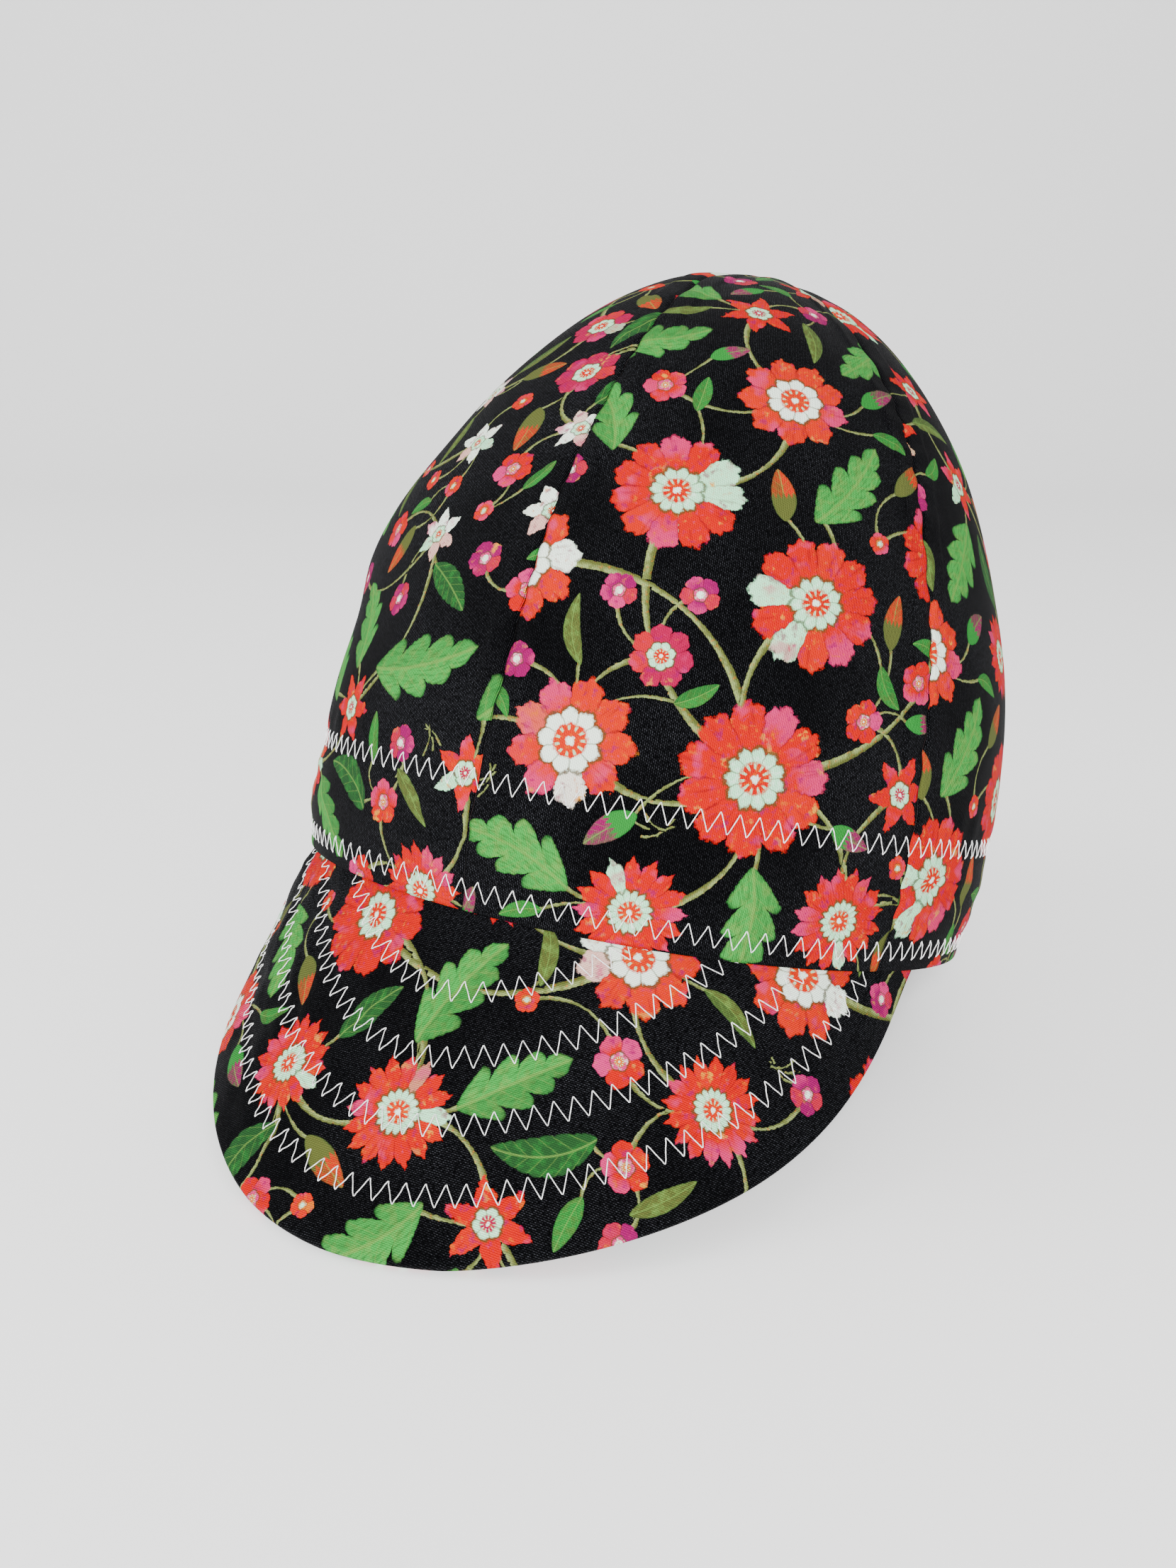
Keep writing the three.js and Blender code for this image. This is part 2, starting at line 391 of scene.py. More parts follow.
    def brim_flat(self, angle, out):
        """The place on the brim's cloth laid flat: across, and out from the hem's middle."""
        return np.sign(angle) * self.run_at(np.abs(angle)), out + self.hem_fall(angle)

    def edge_distance(self, angle, out):
        """How far inside the brim's edge a place lies, measured as the rows of stitches run."""
        across, forward = self.brim_flat(angle, out)
        low = np.zeros_like(forward)
        high = np.full_like(forward, self.length + self.shoulder - 1)
        for _ in range(26):
            middle = (low + high) / 2
            beyond = self.edge_forward(across, middle) < forward
            high = np.where(beyond, middle, high)
            low = np.where(beyond, low, middle)
        return (low + high) / 2

    def brim_line(self, angle, out, inset):
        foot = self.on_crown(angle, 0.0 * out, inset)
        down = foot - self.on_crown(angle, 0.0 * out + 1.0, inset)
        slope = (self.flare * np.sin(angle), -math.cos(self.droop), -math.sin(self.droop))
        way = np.stack(np.broadcast_arrays(*slope), -1)
        past = np.maximum(out, 0)
        first = self.bend * (1 - np.exp(-past / self.bend))
        root = self.on_crown(angle, np.maximum(-out, 0), inset)
        return root + down * first[..., None] + way * (past - first)[..., None]

    def brim_middle(self, angle, out):
        """(the brim's middle surface, its direction out of the cloth)."""
        inset = np.full_like(out, self.wall + self.layer_gap + self.brim_thickness / 2)
        beside = self.brim_line(angle + TURN_STEP, out, inset)
        along = beside - self.brim_line(angle - TURN_STEP, out, inset)
        up = self.brim_line(angle, out - 0.4, inset) - self.brim_line(angle, out + 0.4, inset)
        return self.brim_line(angle, out, inset), unit(np.cross(along, up))

    def brim_half(self, angle, out):
        """Half the brim's thickness: full between the rows and drawn in at them."""
        inside = self.edge_distance(angle, out)
        row = np.clip(np.round(inside / self.row_gap), 1, self.brim_rows) * self.row_gap
        off = np.abs(inside - row) / self.row_gap
        full = 1 - np.exp(-((off / 0.16) ** 1.5))
        across, forward = self.brim_flat(angle, out)
        ripple = 0.36 * np.sin(across * 0.42 + 2.0 * np.sin(inside * 0.2) + forward * 0.05)
        return 0.95 + 0.75 * full + ripple * np.sin(np.clip(off * 2, 0, 1) * math.pi)

    def brim_warp(self, points, normal, angle, out):
        """The soft brim isn't quite even: its edge runs longer and lifts a little by turns."""
        turn = angle / self.brim_end * math.pi / 2
        part = np.clip(out / 40.0, 0, 1.3)
        waves = [np.sin(turn), np.sin(2 * turn), np.sin(3 * turn), np.cos(2 * turn)]
        waves = np.stack([*waves, np.ones_like(turn)], -1)
        longer = waves @ np.array(BRIM_LONGER) * part
        at, wide, spread = BRIM_SIDE
        lifted = waves @ np.array(BRIM_LIFTED) * part**1.5
        side = wide * np.exp(-(((np.degrees(angle) - at) / spread) ** 2))
        lifted = lifted + side * np.clip(out / 8.0, 0, 1)
        ahead = self.brim_middle(angle, out + 0.5)[0] - self.brim_middle(angle, out)[0]
        return points + unit(ahead) * longer[..., None] + normal * lifted[..., None]

    def brim_surface(self, angle, out, side):
        """The brim's upper face with side 1, its underside with side -1, or between them."""
        centre, normal = self.brim_middle(angle, out)
        half = self.brim_half(angle, np.minimum(out, np.maximum(self.reach(angle) - 1.2, -4)))
        points = self.brim_warp(centre + normal * (side * half)[..., None], normal, angle, out)
        end = np.maximum(self.reach(angle), 0)
        foot, turn = self.brim_middle(angle, end)
        foot = foot - turn * (self.brim_thickness / 2 * self.edge_round)
        return self.press(points, self.brim_warp(foot, turn, angle, end), end - out)

    # how it stands

    def panel_surface(self, angle, height, inset=0.0):
        """The worn outer face of the crown, or a layer at a distance inside it."""
        inset = np.asarray(inset, float) + np.zeros_like(height)
        points = self.on_crown(angle, height, inset - self.crown_relief(angle, height))
        return self.press(points, self.on_crown(angle, 0.0 * height, inset), height)

    def press(self, points, foot, distance):
        """Raises points by what their foot would sink into the table."""
        sunk = np.maximum(self.table - foot @ self.upward, 0)
        amount = sunk * (1 - ease(distance, 0, self.press_reach))
        return points + self.upward * amount[..., None]

    def _stand(self):
        """Leans the cap back until the brim's edge and the back of the hem are level."""
        angle = np.array([0.0])
        centre, normal = self.brim_middle(angle, self.reach(angle))
        front = (centre - normal * self.brim_thickness / 2 * self.edge_round)[0]
        back = self.crown(np.array(math.pi), np.array(0.0))
        self.pitch = math.atan2(back[2] - front[2], back[1] - front[1])
        self.upward = np.array([0.0, -math.sin(self.pitch), math.cos(self.pitch)])
        self.table = min(front @ self.upward, back @ self.upward) + self.press_depth
        turn, rise = np.meshgrid(
            np.linspace(0, math.pi, 60), np.linspace(0, self.height * 0.98, 160)
        )
        rear = self.turned(self.crown(turn, rise))[..., 1].max()
        self.shift = np.array([0.0, CAD_BOX[1][1] / MM - rear, -self.table])

    def turned(self, points):
        c, s = math.cos(self.pitch), math.sin(self.pitch)
        x, y, z = points[..., 0], points[..., 1], points[..., 2]
        return np.stack([x, y * c + z * s, z * c - y * s], -1)

    def stand(self, points):
        """Points of the cap's own frame, standing on the table, in metres."""
        return (self.turned(points) + self.shift) * MM


# ---- the print on the cloth

# Base colours as linear red, green and blue.
PALETTE = {
    "red": (0.44, 0.004, 0.002),
    "coral": (0.48, 0.015, 0.003),
    "rose": (0.30, 0.003, 0.044),
    "magenta": (0.21, 0.004, 0.075),
    "pink": (0.48, 0.024, 0.13),
    "mint": (0.34, 0.70, 0.42),
    "white": (0.70, 0.80, 0.68),
    "yellow": (0.52, 0.11, 0.003),
    "amber": (0.62, 0.26, 0.012),
    "apple": (0.034, 0.25, 0.040),
    "leaf": (0.017, 0.175, 0.026),
    "deep": (0.014, 0.056, 0.016),
    "olive": (0.074, 0.086, 0.021),
    "pale": (0.13, 0.25, 0.046),
    "bark": (0.048, 0.047, 0.014),
    "sage": (0.20, 0.25, 0.085),
    "crimson": (0.11, 0.004, 0.010),
}

# Flower kinds: how many, radius in mm, petals, pointedness, depth between petals,
# size of the middle ring, and the colours of petals, ring and heart.
FLOWER_KINDS = (
    (4, 17.0, 11, 0.40, 0.20, 0.38, "red", "mint", "red"),
    (4, 15.0, 9, 0.62, 0.24, 0.48, "coral", "white", "coral"),
    (6, 12.0, 16, 0.95, 0.22, 0.38, "red", "mint", "coral"),
    (10, 9.4, 6, 1.10, 0.52, 0.32, "red", "mint", "rose"),
    (7, 7.6, 7, 0.45, 0.24, 0.42, "rose", "mint", "red"),
    (5, 7.2, 6, 0.85, 0.50, 0.30, "white", "mint", "red"),
    (13, 5.6, 5, 0.45, 0.26, 0.34, "red", "pink", "yellow"),
    (13, 4.6, 5, 0.42, 0.22, 0.34, "magenta", "pink", "white"),
    (15, 3.2, 5, 0.40, 0.20, 0.36, "coral", "yellow", "mint"),
)

# Leaf kinds: tries, half length and half width in mm, lobes, lobe depth, where the base colour
# ends along the leaf, and the colours of blade and base.
LEAF_KINDS = (
    (16, 15.5, 7.8, 4, 0.72, -2.0, "apple", "pale"),
    (26, 10.5, 4.2, 7, 0.14, -2.0, "deep", "leaf"),
    (40, 7.6, 3.3, 1, 0.0, -0.12, "coral", "olive"),
    (46, 9.5, 2.5, 1, 0.0, -2.0, "olive", "pale"),
    (36, 6.2, 2.9, 1, 0.0, -0.15, "magenta", "leaf"),
    (80, 5.6, 2.2, 1, 0.0, -2.0, "leaf", "olive"),
)


class FloralPrint:
    """A scatter of flowers, leaves and stems that repeats over the cloth, in millimetres."""

    stem_step = 0.7
    margin = 12.0

    def __init__(self, settings):
        self.tile = np.array([settings.tile_width, settings.tile_height]) / MM
        self.random = np.random.default_rng(settings.seed)
        self.cells = np.zeros((int(self.tile[0]), int(self.tile[1])), bool)
        self.flowers, self.leaves, self.stems = [], [], []
        self._place_flowers(FLOWER_KINDS[:4])
        self._place_leaves(0)
        self._place_flowers(FLOWER_KINDS[4:])
        for number in range(1, len(LEAF_KINDS)):
            self._place_leaves(number)
        self._join_flowers()
        self._add_sprigs()
        self._pack()

    def _footprint(self, x, y, half_long, half_wide, turn):
        span = math.ceil(max(half_long, half_wide) + 1)
        gx, gy = np.meshgrid(np.arange(-span, span + 1), np.arange(-span, span + 1))
        along = gx * math.cos(turn) + gy * math.sin(turn)
        across = -gx * math.sin(turn) + gy * math.cos(turn)
        inside = (along / half_long) ** 2 + (across / half_wide) ** 2 < 1
        columns = (np.floor(x + gx[inside]).astype(int)) % self.cells.shape[0]
        rows = (np.floor(y + gy[inside]).astype(int)) % self.cells.shape[1]
        return columns, rows

    def _round(self, x, y, radius):
        return self._footprint(x, y, radius, radius, 0)

    def _away(self, x, y, other):
        """The shortest way to another motif, over the repeat's edges too."""
        away = np.array([other[0] - x, other[1] - y])
        return (away + self.tile / 2) % self.tile - self.tile / 2

    def _gap(self, x, y, other):
        return float(np.hypot(*self._away(x, y, other)))

    def _place_flowers(self, kinds):
        for count, radius, *look in kinds:
            for _ in range(count):
                self._place_flower(radius, look)

    def _place_flower(self, radius, look):
        best = None
        for _ in range(60):
            x, y = self.random.uniform(0, 1, 2) * self.tile
            if self.cells[self._round(x, y, radius + 2.2)].any():
                continue
            room = min([self._gap(x, y, flower) - flower[2] for flower in self.flowers] or [1e3])
            miss = abs(room - radius - 9)
            if best is None or miss < best[0]:
                best = (miss, x, y)
        if best is None:
            return
        _, x, y = best
        self.cells[self._round(x, y, radius + 0.2)] = True
        turn = self.random.uniform(0, FULL_TURN)
        size = radius * self.random.uniform(0.92, 1.08)
        self.flowers.append((x, y, size, turn, *look))

    def _place_leaves(self, number):
        for _ in range(LEAF_KINDS[number][0]):
            self._place_leaf(number, *LEAF_KINDS[number][1:])

    def _place_leaf(self, number, half_long, half_wide, lobes, depth, base, blade, foot):
        uniform = self.random.uniform
        for _ in range(30):
            pick = self.flowers[int(self.random.integers(len(self.flowers)))]
            if pick[2] < 5 and number < 2:
                continue
            turn = uniform(0, FULL_TURN)
            stalk = uniform(0.4, 3.0) if number in (0, 1, 3) else uniform(5, 13)
            size = uniform(0.85, 1.1)
            long, wide = half_long * size, half_wide * size
            away = pick[2] * 0.92 + stalk + long
            x, y = pick[0] + away * math.cos(turn), pick[1] + away * math.sin(turn)
            tilt = turn + uniform(-0.35, 0.35)
            cells = self._footprint(x, y, long + 0.7, wide + 1.5, tilt)
            if self.cells[cells].any():
                continue
            self.cells[cells] = True
            bow = uniform(-0.28, 0.28) if base < -1 else uniform(-0.1, 0.1)
            self.leaves.append((x, y, long, wide, tilt, lobes, depth, base, bow, blade, foot))
            along = np.array([math.cos(tilt), math.sin(tilt)])
            across = np.array([-along[1], along[0]])
            tail = np.array([x, y]) - long * (0.86 * along - 0.4 * bow * across)
            self._stem(np.array(pick[:2]), tail, 0.24 + 0.02 * half_wide, uniform(-0.25, 0.25))
            return

    def _stem(self, start, end, half, bow):
        """A bowed stem, kept as close points, each with its direction and half its width."""
        run = end - start
        side = np.array([-run[1], run[0]]) * bow
        for t in np.linspace(0, 1, max(int(np.hypot(*run) / self.stem_step), 3)):
            at = start + run * t + side * 4 * t * (1 - t)
            way = run + side * 4 * (1 - 2 * t)
            way = way / np.hypot(*way)
            self.stems.append((*at, half * (1.0 + 0.3 * math.sin(t * 9)), *way))

    def _join_flowers(self):
        """A bowed branch from each flower to the nearest one that is bigger."""
        for index, flower in enumerate(self.flowers):
            bigger = [other for other in self.flowers if other[2] > flower[2] + 0.8]
            if bigger:
                x, y, size = flower[:3]
                other = min(bigger, key=lambda near: self._gap(x, y, near))
                here = np.array([x, y])
                bow = 0.22 if index % 2 else -0.22
                self._stem(here, here + self._away(x, y, other), 0.22 + 0.036 * size, bow)

    def _add_sprigs(self):
        """Short tufts of hair-fine stamens and curls in the free ground."""
        placed = 0
        for _ in range(400):
            here = self.random.uniform(0, 1, 2) * self.tile
            cells = self._round(*here, 5)
            if placed >= 30 or self.cells[cells].any():
                continue
            self.cells[cells] = True
            placed += 1
            turn = self.random.uniform(0, FULL_TURN)
            for spread in (-0.5, 0.0, 0.5):
                way = np.array([math.cos(turn + spread), math.sin(turn + spread)])
                self._stem(here - way, here + way * 4.5, 0.2, 0.12)

    def _pack(self):
        """Tables of the motifs, and a search tree of the stems with copies past the edges."""
        self.flower_table = np.array([flower[:8] for flower in self.flowers], float)
        self.leaf_table = np.array([leaf[:9] for leaf in self.leaves], float)
        self.flower_tones = [self._tones(self.flowers, at) for at in (8, 9, 10)]
        self.leaf_tones = [self._tones(self.leaves, at) for at in (9, 10)]
        points = np.array(self.stems)
        rows = []
        for i in (-1, 0, 1):
            for j in (-1, 0, 1):
                moved = (points[:, :2] % self.tile) + self.tile * np.array([i, j])
                keep = ((moved > -self.margin) & (moved < self.tile + self.margin)).all(1)
                rows.append(np.column_stack([moved[keep], points[keep, 2:]]))
        self.stem_points = np.concatenate(rows)
        self.tree = kdtree.KDTree(len(self.stem_points))
        for index, row in enumerate(self.stem_points):
            self.tree.insert((row[0], row[1], 0.0), index)
        self.tree.balance()

    def _tones(self, rows, at):
        return np.array([PALETTE[row[at]] for row in rows])

    def in_flower(self, away, row):
        """A place in the flower's own directions, 1 at its rim."""
        c, s = np.cos(row[..., 3]), np.sin(row[..., 3])
        along = away[..., 0] * c + away[..., 1] * s
        across = -away[..., 0] * s + away[..., 1] * c
        return along / row[..., 2], across / row[..., 2]

    def in_leaf(self, away, row):
        """A place in the leaf's own directions, -1 at its foot and 1 at its tip, unbowed."""
        c, s = np.cos(row[..., 4]), np.sin(row[..., 4])
        along = (away[..., 0] * c + away[..., 1] * s) / row[..., 2]
        across = -away[..., 0] * s + away[..., 1] * c
        across = across - row[..., 8] * row[..., 2] * (along**2 - 0.4)
        return along, across / row[..., 3]

    def nearest(self, centres, table, place, size):
        """(the motif nearest to each place, how far the place lies from its middle)."""
        away = (centres[:, None] - table[None, :, :2] + self.tile / 2) % self.tile - self.tile / 2
        along, across = place(away, table[None])
        pick = ((np.hypot(along, across) - 1) * table[:, size]).argmin(1)
        return pick, away[np.arange(len(centres)), pick]

    def nearest_stem(self, centres):
        """(a point on the nearest stem less the place, its direction, half its width)."""
        wrapped = centres % self.tile
        found = [self.tree.find((place[0], place[1], 0.0))[1] for place in wrapped]
        rows = self.stem_points[np.array(found)]
        return rows[:, :2] - wrapped, rows[:, 3:5], rows[:, 2]


# ---- meshes


def sheet(columns, rows, place):
    """A rectangular sheet of quads whose points go where place puts them. place takes arrays of
    shares across and up, and gives points in metres. Each vertex keeps its shares, so that
    later copies carry them too."""
    bm = bmesh.new()
    bmesh.ops.create_grid(bm, x_segments=columns, y_segments=rows, size=0.5)
    shares = np.array([vert.co[:2] for vert in bm.verts]) + 0.5
    for name in ("across", "up"):
        bm.verts.layers.float.new(name)
    across, up = bm.verts.layers.float["across"], bm.verts.layers.float["up"]
    for vert, point, spot in zip(bm.verts, place(shares[:, 0], shares[:, 1]), shares):
        vert.co = point
        vert[across], vert[up] = spot
    return bm


def finish_piece(name, bm, material, *others):
    mesh = bpy.data.meshes.new(name)
    bm.to_mesh(mesh)
    bm.free()
    for each in (material, *others):
        mesh.materials.append(each)
    mesh.shade_smooth()
    piece = bpy.data.objects.new(name, mesh)
    bpy.context.scene.collection.objects.link(piece)
    return piece


def read(items, field, width=1, kind=np.float32):
    values = np.empty(len(items) * width, kind)
    items.foreach_get(field, values)
    return values.reshape(-1, width) if width > 1 else values


def kept_shares(mesh):
    """Where on the sheet each vertex lies: (across, up)."""
    return [read(mesh.attributes[name].data, "value").astype(float) for name in ("across", "up")]


def write_map(mesh, name, values):
    layer = mesh.uv_layers.new(name=name)
    layer.uv.foreach_set("vector", values.astype(np.float32).ravel())


def flat_map(mesh, flat):
    write_map(mesh, "Cloth", flat[read(mesh.loops, "vertex_index", kind=np.int32)])


def put_on_cloth(mesh, flat, floral, offset, ribs_up, side=None):
    """Writes where each corner lies on the flat cloth and in its nearest flower and leaf.
    The ribs of the weave run up the piece where ribs_up is true, and else across it. Faces where
    side is below 0 are of a second cut of the cloth, which lies under the first."""
    corners = read(mesh.loops, "vertex_index", kind=np.int32)
    starts = read(mesh.polygons, "loop_start", kind=np.int32)
    totals = read(mesh.polygons, "loop_total", kind=np.int32)
    order = np.argsort(starts)
    owner = np.repeat(order, totals[order])
    cloth = flat[corners]
    if side is not None:
        under = np.zeros(len(starts))
        np.add.at(under, owner, side[corners])
        under = (under < 0)[owner]
        cloth[under] = cloth[under] * [-1, 1] - [0, UNDER_CUT]
    centres = np.zeros((len(starts), 2))
    np.add.at(centres, owner, cloth)
    centres /= totals[:, None]
    moved = centres + np.array(offset)
    offcut = cloth - centres[owner]

    def write_tones(names, tones, lasts):
        for name, tone, last in zip(names, tones, lasts):
            layer = mesh.attributes.new(name, "FLOAT_COLOR", "CORNER")
            full = np.column_stack([tone, last])[owner]
            layer.data.foreach_set("color", full.astype(np.float32).ravel())

    def write_motif(kind, table, place, size, form):
        """Where each corner lies in the nearest motif, and that motif's form and number."""
        pick, away = floral.nearest(moved, table, place, size)
        rows = table[pick]
        spot = np.column_stack(place(away[owner] + offcut, rows[owner]))
        write_map(mesh, f"{kind}Spot", spot)
        layer = mesh.attributes.new(f"{kind}Form", "FLOAT_VECTOR", "FACE")
        values = np.column_stack([rows[:, form:form + 2], pick])
        layer.data.foreach_set("vector", values.astype(np.float32).ravel())
        return pick, rows

    write_map(mesh, "Cloth", cloth[:, ::-1] if ribs_up else cloth)
    pick, rows = write_motif("Flower", floral.flower_table, floral.in_flower, 2, 4)
    tones = [tone[pick] for tone in floral.flower_tones]
    plain = np.ones(len(starts))
    write_tones(("PetalTone", "RingTone", "HeartTone"), tones, (rows[:, 6], rows[:, 7], plain))
    pick, rows = write_motif("Leaf", floral.leaf_table, floral.in_leaf, 3, 5)
    tones = [tone[pick] for tone in floral.leaf_tones]
    write_tones(("BladeTone", "FootTone"), tones, (rows[:, 7], plain))

    to_stem, way, half = floral.nearest_stem(moved)
    past_end = np.abs((to_stem * way).sum(1)) > 1.1
    half = np.where(past_end, -1.0, half)
    off = offcut - to_stem[owner]
    beside = off[:, 1] * way[owner, 0] - off[:, 0] * way[owner, 1]
    write_map(mesh, "StemSpot", np.column_stack([beside, half[owner]]))


# ---- materials


class Value:
    """What runs through a material's nodes, and can be reckoned with as a number can."""

    def __init__(self, graph, socket):
        self.graph, self.socket = graph, socket

    def __add__(self, other):
        return self.graph.math("ADD", self, other)

    def __sub__(self, other):
        return self.graph.math("SUBTRACT", self, other)

    def __rsub__(self, other):
        return self.graph.math("SUBTRACT", other, self)

    def __mul__(self, other):
        return self.graph.math("MULTIPLY", self, other)

    def __truediv__(self, other):
        return self.graph.math("DIVIDE", self, other)

    def __pow__(self, other):
        return self.graph.math("POWER", self, other)

    def __abs__(self):
        return self.graph.math("ABSOLUTE", self)

    __radd__ = __add__


class Graph:
    """Short ways to add and join a material's nodes."""

    def __init__(self, name):
        self.material = bpy.data.materials.new(name)
        self.material.use_nodes = True
        self.nodes = self.material.node_tree.nodes
        self.links = self.material.node_tree.links
        self.nodes.clear()
        output = self.nodes.new("ShaderNodeOutputMaterial")
        self.shader = self.nodes.new("ShaderNodeBsdfPrincipled")
        self.links.new(self.shader.outputs["BSDF"], output.inputs["Surface"])

    def join(self, value, socket):
        if isinstance(value, Value):
            self.links.new(value.socket, socket)
        else:
            socket.default_value = value

    def node(self, kind, inputs, output):
        """A node of a kind, with what goes into its inputs: (the node, what comes out)."""
        node = self.nodes.new(kind)
        for key, value in inputs.items():
            self.join(value, node.inputs[key])
        return node, Value(self, node.outputs[output])

    def math(self, operation, *values):
        node, result = self.node("ShaderNodeMath", dict(enumerate(values)), 0)
        node.operation = operation
        return result

    def tint(self, value):
        """A colour by its name in the palette, as three numbers, or as what runs through."""
        if isinstance(value, Value):
            return value
        return (*(PALETTE[value] if isinstance(value, str) else value), 1.0)

    def mix(self, part, first, second, blend="MIX"):
        node = self.nodes.new("ShaderNodeMix")
        node.data_type = "RGBA"
        node.blend_type = blend
        node.clamp_factor = True
        for value, socket in zip((part, self.tint(first), self.tint(second)),
                                 (node.inputs[0], node.inputs[6], node.inputs[7])):
            self.join(value, socket)
        return Value(self, node.outputs[2])

    def spread(self, value, low, high):
        """0 to 1 as value goes from low to high."""
        inputs = {"Value": value, "From Min": low, "From Max": high}
        return self.node("ShaderNodeMapRange", inputs, 0)[1]

    def map(self, name):
        node, place = self.node("ShaderNodeUVMap", {}, "UV")
        node.uv_map = name
        return place

    def place(self):
        return self.node("ShaderNodeTexCoord", {}, "Object")[1]

    def form(self, name):
        """The three numbers of a vector attribute."""
        node, vector = self.node("ShaderNodeAttribute", {}, "Vector")
        node.attribute_name = name
        return self.split(vector)

    def tone(self, name):
        """(a colour attribute's colour, the number kept beside it)."""
        node, tone = self.node("ShaderNodeAttribute", {}, "Color")
        node.attribute_name = name
        return tone, Value(self, node.outputs["Alpha"])

    def split(self, vector):
        node, _ = self.node("ShaderNodeSeparateXYZ", {0: vector}, 0)
        return [Value(self, socket) for socket in node.outputs]

    def gather(self, x, y, z=0.0):
        return self.node("ShaderNodeCombineXYZ", {0: x, 1: y, 2: z}, 0)[1]

    def chance(self, x, y):
        """A number from 0 to 1 that is the same for the same x and y."""
        node, value = self.node("ShaderNodeTexWhiteNoise", {"Vector": self.gather(x, y)}, "Value")
        node.noise_dimensions = "2D"
        return value

    def noise(self, vector, scale, detail=2.0, rough=0.5):
        inputs = {"Vector": vector, "Scale": scale, "Detail": detail, "Roughness": rough}
        return self.node("ShaderNodeTexNoise", inputs, 0)[1]

    def darken(self, tone, shade):
        return self.mix(1.0, tone, self.gather(shade, shade, shade), "MULTIPLY")

    def finish(self, tone, roughness, **constants):
        """Sets the shader's colour and roughness, and what is the same all over."""
        self.join(tone, self.shader.inputs["Base Color"])
        self.join(roughness, self.shader.inputs["Roughness"])
        for name, value in constants.items():
            self.shader.inputs[name.replace("_", " ")].default_value = value

    def bump(self, height, strength, distance):
        inputs = {"Strength": strength, "Distance": distance, "Height": height}
        self.join(self.node("ShaderNodeBump", inputs, "Normal")[1], self.shader.inputs["Normal"])


# Spacing of the cotton's ribs and of the short floats over them, in mm.
RIB, FLOAT = 0.43, 0.62


def weave_height(g, cloth):
    """Fine ribs with short floats over them."""
    u, v, _ = g.split(cloth)
    drift = (g.noise(cloth, 0.5, 1.0) - 0.5) * 3.0
    row = v * (FULL_TURN / RIB) + drift
    step = g.math("FLOOR", row / FULL_TURN)
    floats = g.math("SINE", u * (FULL_TURN / FLOAT) + step * 2.4)
    return g.math("SINE", row) * 0.65 + floats * 0.35


def lobe_share(g, turns, shift):
    """0 between petals and 1 at the middle of a petal. turns counts petals round the flower."""
    return 1.0 - abs(g.math("FRACT", turns + shift) * 2.0 - 1.0)


def add_flower(g, under, wash, mottle, fine):
    """The nearest flower laid over the colour under."""
    petals, pointed, number = g.form("FlowerForm")
    petal, depth = g.tone("PetalTone")
    ring, size = g.tone("RingTone")
    heart, _ = g.tone("HeartTone")
    x, y, _ = g.split(g.map("FlowerSpot"))
    far = g.math("SQRT", x**2.0 + y**2.0) + (fine - 0.5) * 0.13
    turn = g.math("ARCTAN2", y, x) / FULL_TURN + 0.5
    turns = turn * petals + (mottle - 0.5) * 0.4
    lobe = lobe_share(g, turns, 0.0)
    scallop = abs(g.math("SINE", turns * (3 * math.pi))) * 0.04
    rim = 0.95 - depth * (1.0 - lobe**pointed) + scallop

    # Petals: some pale, some pink, mottled, with a few strokes out from the heart.
    chance = g.chance(g.math("FLOOR", turns), number)
    outer = g.spread(far + mottle * 0.8, 0.85, 1.15)
    blush = g.spread(chance, 0.60, 0.62) * g.spread(chance, 0.74, 0.72) * outer
    glow = g.spread(wash, 0.40, 0.30) * g.spread(mottle, 0.52, 0.60)
    strokes = g.noise(g.gather(turn * 60.0, far * 2.0), 1.0, 2.0)
    body = g.mix(g.spread(chance, 0.90, 0.915), petal, ring)
    for part, tone in (
        (g.spread(chance, 0.22, 0.17) * 0.6, "coral"),
        (blush * 0.7, "pink"),
        (g.spread(mottle, 0.56, 0.66) * 0.7, "magenta"),
        (g.spread(mottle, 0.40, 0.30) * 0.6, "yellow"),
        (g.spread(fine, 0.60, 0.72) * 0.5, "pink"),
        (g.spread(wash, 0.57, 0.66) * g.spread(far, 0.45, 0.7) * 0.6, "pink"),
        (glow * 0.85, "amber"),
        (g.spread(strokes, 0.58, 0.70) * 0.35, "crimson"),
        (g.spread(lobe, 0.12, 0.02) * g.spread(far, 0.35, 0.6) * 0.5, "crimson"),
    ):
        body = g.mix(part, body, tone)

    # The scalloped ring round the heart, with a fine dark line outside it.
    ring_lobe = lobe_share(g, turns, 0.5)
    ring_rim = size * (0.80 + ring_lobe**0.5 * 0.22)
    body = g.mix(g.spread(ring_rim + 0.05 - far, -0.01, 0.02) * 0.8, body, "bark")
    inner = g.mix(g.spread(fine, 0.5, 0.62) * 0.5, ring, "white")
    inner = g.mix(g.spread(ring_lobe, 0.16, 0.04) * 0.6, inner, "olive")
    body = g.mix(g.spread(ring_rim - far, -0.01, 0.03), body, inner)

    # The heart, with a circle of specks and a pale middle.
    middle = g.mix(g.spread(fine, 0.50, 0.62) * 0.5, heart, "yellow")
    specks = g.spread(g.math("SINE", turn * (FULL_TURN * 11.0)), 0.2, 0.6)
    circle = g.spread(abs(far - size * 0.40), 0.045, 0.02)
    middle = g.mix(specks * circle * 0.8, middle, "mint")
    middle = g.mix(g.spread(far, size * 0.16, size * 0.10), middle, "white")
    body = g.mix(g.spread(size * 0.56 - far, -0.01, 0.03), body, middle)
    return g.mix(g.spread(rim - far, -0.01, 0.03), under, body)


